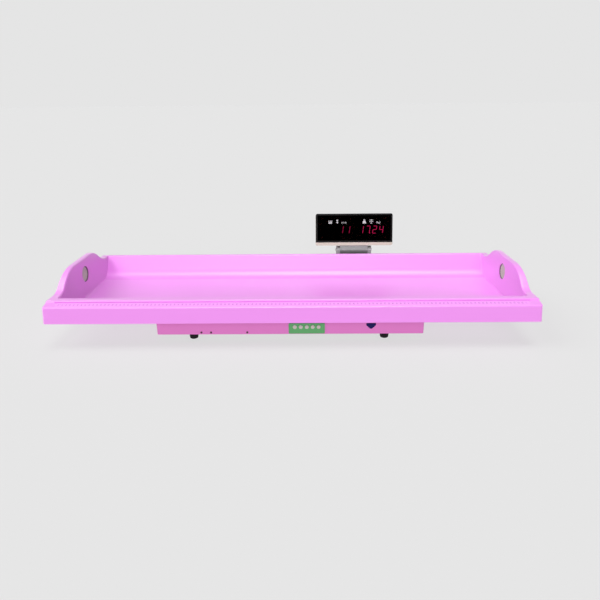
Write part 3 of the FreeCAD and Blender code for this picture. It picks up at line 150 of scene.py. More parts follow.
def finish(name, color, roughness, fineness=1500, depth=0.00002, drift=9, tone=0.04,
           gloss_drift=0.06, **sockets):
    """Material whose colour and gloss drift a little, over a fine bumpy skin.

    Fineness and drift are bumps and patches per metre, depth is the bumps' height, and
    tone and gloss_drift say how far colour and roughness stray. Further keywords set
    shader sockets by their names.
    """
    material = bpy.data.materials.new(name)
    material.use_nodes = True
    tree = material.node_tree
    coat = tree.nodes["Principled BSDF"]
    place = tree.nodes.new("ShaderNodeTexCoord")
    grain = tree.nodes.new("ShaderNodeGroup")
    grain.node_tree = surface_grain
    grain.inputs["Fineness"].default_value = fineness
    grain.inputs["Drift"].default_value = drift
    tree.links.new(place.outputs["Object"], grain.inputs["Vector"])
    paint = tree.nodes.new("ShaderNodeMix")
    paint.data_type = "RGBA"
    paint.inputs["A"].default_value = [c * (1 - tone) for c in color] + [1]
    paint.inputs["B"].default_value = [min(1, c * (1 + tone)) for c in color] + [1]
    tree.links.new(grain.outputs["Tone"], paint.inputs["Factor"])
    tree.links.new(paint.outputs["Result"], coat.inputs["Base Color"])
    gloss = tree.nodes.new("ShaderNodeMapRange")
    gloss.inputs["To Min"].default_value = roughness - gloss_drift
    gloss.inputs["To Max"].default_value = roughness + gloss_drift
    tree.links.new(grain.outputs["Tone"], gloss.inputs["Value"])
    tree.links.new(gloss.outputs["Result"], coat.inputs["Roughness"])
    bump = tree.nodes.new("ShaderNodeBump")
    bump.inputs["Distance"].default_value = depth
    tree.links.new(grain.outputs["Height"], bump.inputs["Height"])
    tree.links.new(bump.outputs["Normal"], coat.inputs["Normal"])
    for socket, value in sockets.items():
        coat.inputs[socket.replace("_", " ")].default_value = value
    return material


table_mesh = bpy.data.meshes.new("table")
table_mesh.from_pydata([(x, y, 0) for x, y in ((-1, -1), (1, -1), (1, 1), (-1, 1))], [],
                       [(0, 1, 2, 3)])
table_mesh.transform(Matrix.Translation((0, 0, -table_drop))
                     @ Matrix.Diagonal((table_reach, table_reach, 1, 1)))
table_mesh.materials.append(finish(
    "table_finish", [c * (1 - table_glow) for c in backdrop], 0.9, fineness=900,
    depth=0.00001, drift=4, tone=0.002, Specular_IOR_Level=0.0,
    Emission_Color=(*backdrop, 1), Emission_Strength=table_glow))
table = bpy.data.objects.new("table", table_mesh)
scene.collection.objects.link(table)

# ---- Tray ----------------------------------------------------------------------------
# One vacuum-formed shell of pink-violet plastic, 4 mm thick, with a fine orange-peel
# skin. Its skirts hang free, and four screws hold it down on the platform.
tray_pink = (0.83, 0.226, 0.83)
tray_peel = 1500            # bumps per metre
weld_distance = 2e-6        # between points of one corner
crease_angle = math.radians(32)         # from here on an edge is a crisp one
flat_angle = math.radians(0.5)          # up to here two faces are one
bevel_steps = 2
fine_edge = 0.0003          # bevels: sheet and small mouldings
moulded_edge = 0.0004
cast_edge = 0.0005
case_edge = 0.0008


def set_material(mesh, material):
    """Gives a mesh one material all over."""
    mesh.materials.clear()
    mesh.materials.append(material)


def add_piece(name, mesh, material, body, slot, *nodes):
    """Puts a finished mesh on its body, in place of the CAD nodes that it stands for."""
    set_material(mesh, material)
    piece = bpy.data.objects.new(name, mesh)
    scene.collection.objects.link(piece)
    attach(piece, body)
    if nodes:
        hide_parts(*nodes)
    return piece


def smooth_copy(node, name, material, body, slot, bevel=0):
    """A CAD node's own form with smooth curves; its edges crisp, or broken by a bevel."""
    mesh = frame["nodes"][node].data.copy()
    if "custom_normal" in mesh.attributes:
        mesh.attributes.remove(mesh.attributes["custom_normal"])
    form = bmesh.new()
    form.from_mesh(mesh)
    bmesh.ops.remove_doubles(form, verts=form.verts, dist=weld_distance)
    if bevel:
        bmesh.ops.dissolve_limit(form, angle_limit=flat_angle, verts=form.verts,
                                 edges=form.edges)
    for face in form.faces:
        face.smooth = True
    for edge in form.edges:
        edge.smooth = bool(bevel) or (len(edge.link_faces) == 2
                                      and edge.calc_face_angle(math.pi) < crease_angle)
    form.to_mesh(mesh)
    form.free()
    piece = add_piece(name, mesh, material, body, slot, node)
    if bevel:
        ease = piece.modifiers.new("ease", "BEVEL")
        ease.width = bevel
        ease.segments = bevel_steps
        ease.limit_method = "ANGLE"
        ease.angle_limit = crease_angle
    weigh = piece.modifiers.new("weigh", "WEIGHTED_NORMAL")
    weigh.keep_sharp = True
    return piece


tray_skin = finish("tray_skin", tray_pink, 0.42, fineness=tray_peel, depth=0.00003,
                   drift=5, tone=0.015, gloss_drift=0.04, Coat_Weight=1.0,
                   Coat_Roughness=0.38, Coat_IOR=1.8, Sheen_Weight=0.7,
                   Sheen_Roughness=0.4)
smooth_copy("tray_shell", "tray_moulding", tray_skin, "tray", "tray_plastic")

# ---- Ruler ---------------------------------------------------------------------------
# A long printed film let into the bevel along the tray's front edge. Tinted bars count
# the centimetres, each with its numeral, and fine graduations the millimetres.
film_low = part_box("ruler_strip")[0]
film_thickness = 0.0006
film_width = 0.017
film_rise, film_run = 5.5, 24.0         # of the bevel that it lies on
film_slope = math.atan2(film_rise, film_run)
ruler_zero = -0.600
ruler_span = 1.200
centimetres = 100           # in a metre
ink_height = 0.00003        # of one layer of print, and as much of it sunk in the film
bar_layers, mark_layers = 1, 2
bar_width = 0.0050
bar_length = 0.0095
mark_kinds = (              # pitch, skipped multiples, width, length
    (0.001, 5, 0.00012, 0.0014),
    (0.005, 2, 0.00018, 0.0020),
    (0.010, 0, 0.00025, 0.0028),
)
film_margin = 0.0036        # clear film above the marks
numeral_height = 0.0030
numeral_drop = 0.0012       # below the longest graduation
figure_share = 0.7          # a figure's height by the size of its font
curve_steps = 2

ruler_film = finish("ruler_film", (0.90, 0.35, 0.90), 0.34, fineness=2500,
                    depth=0.00001, tone=0.012)
set_material(frame["nodes"]["ruler_strip"].data, ruler_film)
ruler_tint = finish("ruler_tint", (0.82, 0.285, 0.84), 0.4, fineness=3000, depth=0.000005)
ruler_ink = finish("ruler_ink", (0.42, 0.10, 0.44), 0.45, fineness=3000, depth=0.000005)


def new_tree(name, sizes):
    """Geometry tree with a named input for each size, and its in and out nodes."""
    tree = bpy.data.node_groups.new(name, "GeometryNodeTree")
    tree.interface.new_socket("Geometry", in_out="INPUT", socket_type="NodeSocketGeometry")
    for size, kind in sizes:
        tree.interface.new_socket(size, in_out="INPUT", socket_type="NodeSocket" + kind)
    tree.interface.new_socket("Geometry", in_out="OUTPUT", socket_type="NodeSocketGeometry")
    return tree, tree.nodes.new("NodeGroupInput"), tree.nodes.new("NodeGroupOutput")


def step(tree, kind, links=None, **values):
    """Adds a node to a tree, sets its properties, and joins or sets its inputs."""
    node = tree.nodes.new(kind)
    for name, value in values.items():
        setattr(node, name, value)
    for key, source in (links or {}).items():
        socket = node.inputs[key]
        if isinstance(source, bpy.types.NodeSocket):
            tree.links.new(source, socket)
        else:
            socket.default_value = source
    return node


def maths(tree, operation, first, second=0.0):
    """What a maths node makes of one or two sources or plain numbers."""
    return step(tree, "ShaderNodeMath", {0: first, 1: second},
                operation=operation).outputs[0]


def grown(tree, mesh, name, **inputs):
    """The mesh that a geometry tree makes from a starting mesh, with these inputs."""
    carrier = bpy.data.objects.new(name, mesh)
    scene.collection.objects.link(carrier)
    grow = carrier.modifiers.new("grow", "NODES")
    grow.node_group = tree
    for item in tree.interface.items_tree:
        if item.item_type == "SOCKET" and item.in_out == "INPUT" and item.name in inputs:
            grow[item.identifier] = inputs[item.name]
    bpy.context.view_layer.update()
    made = bpy.data.meshes.new_from_object(
        carrier.evaluated_get(bpy.context.evaluated_depsgraph_get()))
    carrier.modifiers.remove(grow)
    bpy.data.objects.remove(carrier)
    made.name = name
    return made


def graduation_tree():
    """A row of raised ink bars along X, leaving out every so many of them."""
    tree, given, result = new_tree("graduations", (
        ("Count", "Int"), ("Pitch", "Float"), ("Skip", "Int"), ("Width", "Float"),
        ("Length", "Float"), ("Thickness", "Float"), ("Ink", "Material")))
    size = given.outputs
    pitch = step(tree, "ShaderNodeCombineXYZ", {"X": size["Pitch"]})
    row = step(tree, "GeometryNodeMeshLine", {"Count": size["Count"],
                                              "Offset": pitch.outputs[0]})
    bar = step(tree, "ShaderNodeCombineXYZ", {"X": size["Width"], "Y": size["Length"],
                                              "Z": size["Thickness"]})
    cube = step(tree, "GeometryNodeMeshCube", {"Size": bar.outputs[0]})
    index = step(tree, "GeometryNodeInputIndex")
    left = step(tree, "FunctionNodeIntegerMath", {0: index.outputs[0], 1: size["Skip"]},
                operation="MODULO")
    kept = step(tree, "FunctionNodeCompare", {2: left.outputs[0], 3: 0}, data_type="INT",
                operation="NOT_EQUAL")
    every = step(tree, "FunctionNodeCompare", {2: size["Skip"], 3: 0}, data_type="INT",
                 operation="EQUAL")
    chosen = step(tree, "FunctionNodeBooleanMath", {0: kept.outputs[0],
                                                    1: every.outputs[0]}, operation="OR")
    bars = step(tree, "GeometryNodeInstanceOnPoints", {
        "Points": row.outputs[0], "Selection": chosen.outputs[0],
        "Instance": cube.outputs[0]})
    real = step(tree, "GeometryNodeRealizeInstances", {0: bars.outputs[0]})
    inked = step(tree, "GeometryNodeSetMaterial", {"Geometry": real.outputs[0],
                                                   "Material": size["Ink"]})
    tree.links.new(inked.outputs[0], result.inputs[0])
    return tree


def joined_mesh(name, meshes):
    """One mesh holding several."""
    form = bmesh.new()
    for mesh in meshes:
        form.from_mesh(mesh)
    whole = bpy.data.meshes.new(name)
    form.to_mesh(whole)
    form.free()
    return whole


def flat_text(words, height, thickness):
    """Plain figures or letters as a thin plate, centred on the origin in X and Y."""
    curve = bpy.data.curves.new("words", "FONT")
    curve.body = words
    curve.size = height / figure_share
    curve.extrude = thickness / 2
    curve.resolution_u = curve_steps
    curve.align_x = "CENTER"
    curve.align_y = "CENTER"
    carrier = bpy.data.objects.new("words", curve)
    scene.collection.objects.link(carrier)
    bpy.context.view_layer.update()
    mesh = bpy.data.meshes.new_from_object(
        carrier.evaluated_get(bpy.context.evaluated_depsgraph_get()))
    bpy.data.objects.remove(carrier)
    return mesh


# The film's own axes: X along it, Y up its slope from its front edge, Z out of its face.
film_front = Vector((0, film_low.y, film_low.z + film_thickness * math.cos(film_slope)))
on_film = Matrix.Translation(film_front) @ Matrix.Rotation(film_slope, 4, "X")
marks_top = film_width - film_margin
graduations = graduation_tree()
nothing = bpy.data.meshes.new("nothing")


def mark_row(pitch, skip, width, length, layers, ink):
    """One kind of mark all along the ruler, its ends at the top of the film."""
    marks = grown(graduations, nothing, "marks", Count=round(ruler_span / pitch) + 1,
                  Pitch=pitch, Skip=skip, Width=width, Length=length,
                  Thickness=2 * layers * ink_height, Ink=ink)
    marks.transform(Matrix.Translation((ruler_zero, marks_top - length / 2, 0)))
    return marks


mark_meshes = [mark_row(*kind, mark_layers, ruler_ink) for kind in mark_kinds]
numeral_row = marks_top - mark_kinds[-1][3] - numeral_drop - numeral_height / 2
for number in range(1, round(ruler_span * centimetres)):
    figure = flat_text(str(number), numeral_height, 2 * mark_layers * ink_height)
    figure.transform(Matrix.Translation((ruler_zero + number / centimetres, numeral_row, 0)))
    mark_meshes.append(figure)
bar_row = mark_row(1 / centimetres, 0, bar_width, bar_length, bar_layers, ruler_tint)
for name, meshes, ink in (("ruler_marks", mark_meshes, ruler_ink),
                          ("ruler_bars", [bar_row], ruler_tint)):
    print_mesh = joined_mesh(name, meshes)
    print_mesh.transform(on_film)
    add_piece(name, print_mesh, ink, "tray", "ruler_sheet")

# ---- Length sensors ------------------------------------------------------------------
# An ultrasonic transducer looks out of each end wall. It sits in a grey moulded ring
# snapped into the wall, behind a fine woven wire screen.
screen_wire = 0.00045       # thickness
screen_pitch = 0.0016
wire_sides = 6
sensor_trim = finish("sensor_trim", (0.20, 0.165, 0.175), 0.42, fineness=2200)
sensor_screen = finish("sensor_screen", (0.80, 0.86, 0.72), 0.42, tone=0.1, Metallic=0.5)
sensor_can = finish("sensor_can", (0.68, 0.74, 0.62), 0.5, tone=0.12, Metallic=0.3)


def screen_tree():
    """Two crossed layers of round wires, each cut to a round outline."""
    tree, given, result = new_tree("wire_screen", (
        ("Radius", "Float"), ("Wire", "Float"), ("Pitch", "Float"), ("Metal", "Material")))
    size = given.outputs
    diameter = maths(tree, "MULTIPLY", size["Radius"], 2.0)
    count = maths(tree, "FLOOR", maths(tree, "DIVIDE", diameter, size["Pitch"]))
    spread = maths(tree, "MULTIPLY", maths(tree, "SUBTRACT", count, 1.0), size["Pitch"])
    first = maths(tree, "MULTIPLY", spread, -0.5)
    start = step(tree, "ShaderNodeCombineXYZ", {"Y": first})
    offset = step(tree, "ShaderNodeCombineXYZ", {"Y": size["Pitch"]})
    row = step(tree, "GeometryNodeMeshLine", {
        "Count": count, "Start Location": start.outputs[0], "Offset": offset.outputs[0]})
    where = step(tree, "GeometryNodeInputPosition")
    parts = step(tree, "ShaderNodeSeparateXYZ", {0: where.outputs[0]})
    off = maths(tree, "MULTIPLY", parts.outputs["Y"], parts.outputs["Y"])
    full = maths(tree, "MULTIPLY", size["Radius"], size["Radius"])
    half = maths(tree, "SQRT", maths(tree, "SUBTRACT", full, off))
    length = maths(tree, "MULTIPLY", half, 2.0)
    sized = step(tree, "ShaderNodeCombineXYZ", {"X": 1.0, "Y": 1.0, "Z": length})
    rod = step(tree, "GeometryNodeMeshCylinder", {
        "Vertices": wire_sides, "Radius": size["Wire"], "Depth": 1.0})
    quarter = math.pi / 2
    wires = step(tree, "GeometryNodeInstanceOnPoints", {
        "Points": row.outputs[0], "Instance": rod.outputs[0],
        "Rotation": (0.0, quarter, 0.0), "Scale": sized.outputs[0]})
    lift = step(tree, "ShaderNodeCombineXYZ", {"Z": size["Wire"]})
    crossed = step(tree, "GeometryNodeTransform", {
        "Geometry": wires.outputs[0], "Translation": lift.outputs[0],
        "Rotation": (0.0, 0.0, quarter)})
    both = step(tree, "GeometryNodeJoinGeometry")
    tree.links.new(wires.outputs[0], both.inputs[0])
    tree.links.new(crossed.outputs[0], both.inputs[0])
    real = step(tree, "GeometryNodeRealizeInstances", {0: both.outputs[0]})
    plated = step(tree, "GeometryNodeSetMaterial", {"Geometry": real.outputs[0],
                                                    "Material": size["Metal"]})
    tree.links.new(plated.outputs[0], result.inputs[0])
    return tree


wire_screen = screen_tree()
for side in ("left", "right"):
    low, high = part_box(side + "_sensor_grille")
    middle = (low + high) / 2
    screen = grown(wire_screen, nothing, side + "_sensor_screen",
                   Radius=(high.y - low.y) / 2, Wire=screen_wire / 2, Pitch=screen_pitch,
                   Metal=sensor_screen)
    screen.transform(Matrix.Translation(middle) @ Matrix.Rotation(math.pi / 2, 4, "Y"))
    add_piece(side + "_sensor_screen", screen, sensor_screen, "tray", "sensor_grey",
              side + "_sensor_grille")
    smooth_copy(side + "_sensor_ring", side + "_sensor_bezel", sensor_trim, "tray",
                "switch_black")
    smooth_copy(side + "_transducer", side + "_sensor_can", sensor_can, "tray",
                "sensor_metal")

# ---- Base ----------------------------------------------------------------------------
# A folded sheet-steel case in pink powder coat, closed below by a zinc-plated pan that
# small pan-head screws hold along the lower edge. It stands on four rubber feet.
base_pink = (0.72, 0.188, 0.55)
base_coat = finish("base_coat", base_pink, 0.42, fineness=1900, depth=0.00004, drift=12,
                   tone=0.03, Coat_Weight=0.15)
foot_rubber = finish("foot_rubber", (0.009, 0.007, 0.009), 0.7, fineness=2600,
                     depth=0.00006, tone=0.2, Specular_IOR_Level=0.15)
plated_sheet = finish("plated_sheet", (0.56, 0.57, 0.58), 0.38, fineness=400, drift=35,
                      tone=0.12, gloss_drift=0.1, Metallic=1.0)
smooth_copy("base_housing", "base_case", base_coat, "base", "base_paint")
smooth_copy("bottom_pan", "base_pan", plated_sheet, "base", "sheet_steel", bevel=fine_edge)
smooth_copy("rubber_feet", "feet", foot_rubber, "base", "foot_rubber")

# ---- Key panel -----------------------------------------------------------------------
# A green moulded panel on the middle of the base's front, held from behind by the screws
# of its key board. Five round pale push keys stand proud of it.
key_count = 5
panel_green = finish("panel_green", (0.098, 0.37, 0.125), 0.4, fineness=2000,
                     depth=0.00003, tone=0.05)
key_white = finish("key_white", (0.54, 0.50, 0.45), 0.42, fineness=2400, tone=0.03,
                   Subsurface_Weight=0.15, Subsurface_Scale=0.002)
smooth_copy("key_panel", "key_fascia", panel_green, "base", "panel_green", bevel=moulded_edge)
for number in range(1, key_count + 1):
    key = "key_%d" % number
    smooth_copy(key, key + "_cap", key_white, key, "key_white")

# ---- Badge ---------------------------------------------------------------------------
# A blank shield-shaped plate of glossy navy-blue plastic, moulded in one piece and
# glued to the base's front.
badge_navy = finish("badge_navy", (0.008, 0.006, 0.085), 0.22, fineness=900,
                    depth=0.00001, tone=0.08, Specular_IOR_Level=0.15)
smooth_copy("badge", "badge_plate", badge_navy, "base", "badge_blue", bevel=moulded_edge)

# ---- Screws --------------------------------------------------------------------------
# Pan-head screws with a cross recess, the same kind in several sizes. Each head seats on
# the face that it clamps. Those along the base's edge are dipped black, the rest zinc.
screw_zinc = finish("screw_zinc", (0.60, 0.60, 0.58), 0.32, fineness=3000, drift=200,
                    tone=0.1, Metallic=1.0)
screw_black = finish("screw_black", (0.10, 0.045, 0.06), 0.4, fineness=3000, drift=200,
                     tone=0.15, Metallic=0.4)
recess_shares = (1.3, 0.30, 0.6)        # length and width by radius, depth by height
dome_share = 0.72                       # top face by radius
dome_start = 0.25                       # above the head's middle, by height
head_sides = 16
shank_sides = 12


def screw_tree():
    """A pan-head screw on every point: head, cross recess and shank, head upwards."""
    tree, given, result = new_tree("pan_head_screws", (
        ("Radius", "Float"), ("Height", "Float"), ("Shank", "Float"), ("Length", "Float"),
        ("Metal", "Material")))
    size = given.outputs
    head = step(tree, "GeometryNodeMeshCylinder", {
        "Vertices": head_sides, "Side Segments": 2, "Radius": size["Radius"],
        "Depth": size["Height"]})
    where = step(tree, "GeometryNodeInputPosition")
    parts = step(tree, "ShaderNodeSeparateXYZ", {0: where.outputs[0]})
    dome_from = maths(tree, "MULTIPLY", size["Height"], dome_start)
    on_top = step(tree, "FunctionNodeCompare", {0: parts.outputs["Z"], 1: dome_from},
                  operation="GREATER_THAN")
    drawn_in = step(tree, "ShaderNodeVectorMath", {
        0: where.outputs[0], 1: (dome_share, dome_share, 1.0)}, operation="MULTIPLY")
    domed = step(tree, "GeometryNodeSetPosition", {
        "Geometry": head.outputs["Mesh"], "Selection": on_top.outputs[0],
        "Position": drawn_in.outputs[0]})
    long, wide, deep = recess_shares
    half_height = maths(tree, "MULTIPLY", size["Height"], 0.5)
    up = step(tree, "ShaderNodeCombineXYZ", {"Z": half_height})
    arms = []
    for share_x, share_y in ((long, wide), (wide, long)):
        arm = step(tree, "ShaderNodeCombineXYZ", {
            "X": maths(tree, "MULTIPLY", size["Radius"], share_x),
            "Y": maths(tree, "MULTIPLY", size["Radius"], share_y),
            "Z": maths(tree, "MULTIPLY", size["Height"], deep)})
        cutter = step(tree, "GeometryNodeMeshCube", {"Size": arm.outputs[0]})
        arms.append(step(tree, "GeometryNodeTransform", {
            "Geometry": cutter.outputs[0], "Translation": up.outputs[0]}))
    recessed = step(tree, "GeometryNodeMeshBoolean", {0: domed.outputs[0]},
                    operation="DIFFERENCE")
    for arm in arms:
        tree.links.new(arm.outputs[0], recessed.inputs[1])
    head_up = step(tree, "GeometryNodeTransform", {
        "Geometry": recessed.outputs[0], "Translation": up.outputs[0]})
    shank = step(tree, "GeometryNodeMeshCylinder", {
        "Vertices": shank_sides, "Radius": size["Shank"], "Depth": size["Length"]})
    down = step(tree, "ShaderNodeCombineXYZ", {
        "Z": maths(tree, "MULTIPLY", size["Length"], -0.5)})
    shank_down = step(tree, "GeometryNodeTransform", {
        "Geometry": shank.outputs["Mesh"], "Translation": down.outputs[0]})
    whole = step(tree, "GeometryNodeJoinGeometry")
    tree.links.new(head_up.outputs[0], whole.inputs[0])
    tree.links.new(shank_down.outputs[0], whole.inputs[0])
    placed = step(tree, "GeometryNodeInstanceOnPoints", {
        "Points": given.outputs["Geometry"], "Instance": whole.outputs[0]})
    real = step(tree, "GeometryNodeRealizeInstances", {0: placed.outputs[0]})
    plated = step(tree, "GeometryNodeSetMaterial", {"Geometry": real.outputs[0],
                                                    "Material": size["Metal"]})
    tree.links.new(plated.outputs[0], result.inputs[0])
    return tree


def loose_parts(mesh):
    """The points of each separate part of a mesh, in the mesh's own order."""
    form = bmesh.new()
    form.from_mesh(mesh)
    bmesh.ops.remove_doubles(form, verts=form.verts, dist=weld_distance)
    form.verts.index_update()
    parts, reached = [], set()
    for start in form.verts:
        if start.index in reached:
            continue
        reached.add(start.index)
        part = [start]
        for vert in part:       # the list grows while it is read
            for link in vert.link_edges:
                other = link.other_vert(vert)
                if other.index not in reached:
                    reached.add(other.index)
                    part.append(other)
        parts.append([vert.co.copy() for vert in part])
    form.free()
    return parts


def facing(direction):
    """Turn that carries +Z to a direction, given as the way that the heads look."""
    return Vector(direction).to_track_quat("Z", "Y").to_matrix().to_4x4()


def add_screws(node, body, metal, *turns):
    """Screws in place of a CAD node's, for each way that their heads look."""
    meshes = []
    for turn in turns:
        seats = []
        for part in loose_parts(frame["nodes"][node].data):
            points = [turn.inverted() @ point for point in part]
            x = (min(p.x for p in points) + max(p.x for p in points)) / 2
            y = (min(p.y for p in points) + max(p.y for p in points)) / 2
            reaches = [math.hypot(p.x - x, p.y - y) for p in points]
            head, shank = max(reaches), min(reaches)
            wide = [p.z for p, reach in zip(points, reaches) if reach > (head + shank) / 2]
            low, high = min(p.z for p in points), max(p.z for p in points)
            if max(wide) < high:
                continue
            seats.append((x, y, min(wide)))
            sizes = {"Radius": head, "Height": high - min(wide), "Shank": shank,
                     "Length": min(wide) - low}
        seat_mesh = bpy.data.meshes.new("seats")
        seat_mesh.from_pydata(seats, [], [])
        screws = grown(screw_shape, seat_mesh, node + "_row", Metal=metal, **sizes)
        screws.transform(turn)
        meshes.append(screws)
    add_piece(node + "_plated", joined_mesh(node + "_plated", meshes), metal, body,
              "screw_steel", node)


screw_shape = screw_tree()
forward_way, backward_way = facing((0, -1, 0)), facing((0, 1, 0))
add_screws("pan_screws", "base", screw_black, forward_way, backward_way)
add_screws("arm_bolts", "base", screw_zinc, backward_way)
add_screws("saddle_screws", "base", screw_zinc, backward_way)
add_screws("pivot_screws", "base", screw_zinc, facing((-1, 0, 0)), facing((1, 0, 0)))
add_screws("foot_screws", "base", screw_zinc, facing((0, 0, -1)))

# ---- Column and saddle ---------------------------------------------------------------
# A short painted steel tube stands behind the tray, bolted to the base through a spacer.
# A cast aluminium saddle plugs into its top and carries the head between two cheeks.
column_grey = finish("column_grey", (0.52, 0.53, 0.55), 0.45, fineness=1700,
                     depth=0.00004, tone=0.04)
cast_grey = finish("cast_grey", (0.33, 0.345, 0.335), 0.5, fineness=1300, depth=0.00008,
                   drift=40, tone=0.1, Metallic=0.3)
block_grey = finish("block_grey", (0.24, 0.25, 0.24), 0.46, fineness=1300, depth=0.00008,
                    drift=40, tone=0.1, Metallic=0.3)
plain_black = finish("plain_black", (0.028, 0.026, 0.03), 0.42, fineness=2200)
for node, name, material, body, slot in (
        ("column", "column_tube", column_grey, "base", "column_paint"),
        ("column_arm", "column_spacer", column_grey, "base", "column_paint"),
        ("column_end_cap", "column_plug", plain_black, "base", "switch_black"),
        ("saddle_bracket", "saddle_casting", cast_grey, "base", "casting_grey"),
        ("tilt_block", "tilt_casting", block_grey, "display", "casting_grey")):
    smooth_copy(node, name, material, body, slot, bevel=cast_edge)

# ---- Display head --------------------------------------------------------------------
# A cream plastic case leans back on the saddle. A black glossy bezel closes its front
# around a dark tinted window, and below the bezel the case shows as a plain chin.
case_cream = finish("case_cream", (0.54, 0.50, 0.40), 0.44, fineness=1800,
                    depth=0.00004, tone=0.03)
bezel_black = finish("bezel_black", (0.003, 0.002, 0.0025), 0.2, fineness=1500,
                     depth=0.00001, tone=0.1, Specular_IOR_Level=0.04)
window_smoke = finish("window_smoke", (0.05, 0.02, 0.02), 0.06, fineness=300,
                      depth=0.000002, tone=0.02, gloss_drift=0.02,
                      Transmission_Weight=1.0, IOR=1.0)
smooth_copy("rear_case", "head_case", case_cream, "display", "case_cream", bevel=case_edge)
smooth_copy("front_bezel", "head_bezel", bezel_black, "display", "bezel_black",
            bevel=moulded_edge)
smooth_copy("window", "head_window", window_smoke, "display", "window_tint", bevel=fine_edge)

pivot = Vector(next(j["pos_m"] for j in frame["joints"] if j["name"] == "display_tilt"))
head_lean = math.radians(15)            # back from upright
on_head = Matrix.Translation(pivot) @ Matrix.Rotation(-head_lean, 4, "X")
add_screws("case_screws", "display", screw_zinc, on_head @ facing((0, 1, 0)))


def head_box(node):
    """A CAD node's box in the head's own upright axes, about the pivot."""
    places = [on_head.inverted() @ vert.co for vert in frame["nodes"][node].data.vertices]
    return [Vector(tuple(pick(place[i] for place in places) for i in range(3)))
            for pick in (min, max)]


# ---- Readouts ------------------------------------------------------------------------
# Two modules of four seven-segment digits stand behind the window. Each segment is a
# slanted red diffuser, lit or dark, in the module's black face.
readout_low, readout_high = head_box("length_readout")
readout_face = readout_low.y
digit_level = (readout_low.z + readout_high.z) / 2
digit_size = (0.0130, 0.0254)
digit_stroke = 0.0017
digit_slant = math.tan(math.radians(8))  # sideways by upwards
digit_pitch = 0.022
segment_gap = 0.0003        # at each end of a segment
segment_relief = 0.0002     # out of the module's face
point_radius = 0.0013
point_sides = 12
glow_color = (1.0, 0.058, 0.40, 1)
readouts = (                # name, middle, digits shown, glow
    ("length", -0.0535, (" ", " ", "1", "1"), 6.8),
    ("weight", 0.0574, ("1", "7.", "2", "4"), 10.4),
)
lit_segments = {"1": "bc", "7": "abc", "2": "abdeg", "4": "bcfg", " ": ""}

module_black = finish("module_black", (0.006, 0.005, 0.006), 0.55, fineness=2200)
segment_dark = finish("segment_dark", (0.035, 0.006, 0.008), 0.5, fineness=2200)


def segment_places():
    """Each segment's middle, half length and whether it stands upright, within a digit."""
    half_width = digit_size[0] / 2 - digit_stroke / 2
    half_height = digit_size[1] / 2 - digit_stroke / 2
    return {
        "a": (0, half_height, half_width, False),
        "b": (half_width, half_height / 2, half_height / 2, True),
        "c": (half_width, -half_height / 2, half_height / 2, True),
        "d": (0, -half_height, half_width, False),
        "e": (-half_width, -half_height / 2, half_height / 2, True),
        "f": (-half_width, half_height / 2, half_height / 2, True),
        "g": (0, 0, half_width, False),
    }


def add_plate(form, outline, near, far):
    """Adds a flat plate to a mesh, from its outline in X and Z, between two depths."""
    front = [form.verts.new((x, near, z)) for x, z in outline]
    back = [form.verts.new((x, far, z)) for x, z in outline]
    form.faces.new(front)
    form.faces.new(back[::-1])
    for i in range(len(outline)):
        j = (i + 1) % len(outline)
        form.faces.new((front[j], front[i], back[i], back[j]))


def add_segment(form, letter, centre):
    """Adds one slanted segment of a digit: a long hexagon with pointed ends."""
    x, z, half, stands = segment_places()[letter]
    half -= segment_gap
    edge = digit_stroke / 2
    hexagon = [(-half, 0), (edge - half, -edge), (half - edge, -edge), (half, 0),
               (half - edge, edge), (edge - half, edge)]
    if stands:
        hexagon = [(-v, u) for u, v in hexagon]
    outline = [(centre + x + u + (z + v) * digit_slant, digit_level + z + v)
               for u, v in hexagon]
    add_plate(form, outline, readout_face - segment_relief, readout_face)


def add_point(form, centre):
    """Adds the round point at the foot of a digit."""
    x = centre + digit_size[0] / 2 + digit_stroke / 2 - digit_size[1] / 2 * digit_slant
    z = digit_level - digit_size[1] / 2 + point_radius
    turns = [i * math.tau / point_sides for i in range(point_sides)]
    outline = [(x + point_radius * math.cos(t), z + point_radius * math.sin(t))
               for t in turns]
    add_plate(form, outline, readout_face - segment_relief, readout_face)


def head_mesh(name, form):
    """Mesh drawn upright about the pivot, with faces outwards, leaned back into place."""
    bmesh.ops.recalc_face_normals(form, faces=form.faces)
    mesh = bpy.data.meshes.new(name)
    form.to_mesh(mesh)
    form.free()
    mesh.transform(on_head)
    return mesh


dark = bmesh.new()
for name, middle, shown_digits, strength in readouts:
    lit = bmesh.new()
    for place, digit in enumerate(shown_digits):
        centre = middle + (place - (len(shown_digits) - 1) / 2) * digit_pitch
        for letter in "abcdefg":
            add_segment(lit if letter in lit_segments[digit[0]] else dark, letter, centre)
        add_point(lit if digit.endswith(".") else dark, centre)
    glow = finish(name + "_glow", (0.30, 0.006, 0.02), 0.5, fineness=2200,
                  Emission_Color=glow_color, Emission_Strength=strength)
    add_piece(name + "_lit", head_mesh(name + "_lit", lit), glow, "display", "readout_red")
add_piece("dark_segments", head_mesh("dark_segments", dark), segment_dark, "display",
          "readout_red")
for node in ("length_readout", "weight_readout"):
    set_material(frame["nodes"][node].data, module_black)

# ---- Signs on the window -------------------------------------------------------------
# White signs printed on the window above the digits: a ruler and a double arrow with cm
# for length, and a weight and a balance with kg for weight.
sign_rise = 0.027           # above the middle of the digits
sign_level = digit_level + sign_rise
sign_height = 0.0135
sign_face = head_box("window")[0].y
sign_ink_height = 0.00005   # out of the window's face
unit_height = 0.0062
unit_drop = 0.0035          # below the middle of the signs
unit_places = (("(cm)", -0.0340), ("(kg)", 0.0800))
# The signs' white ink also gets a faint emission, a painted glow, since printed ink gives off no
# light of its own.
sign_white = finish("sign_white", (0.47, 0.49, 0.475), 0.5, fineness=2500,
                    Emission_Color=(1, 1, 1, 1), Emission_Strength=0.05)


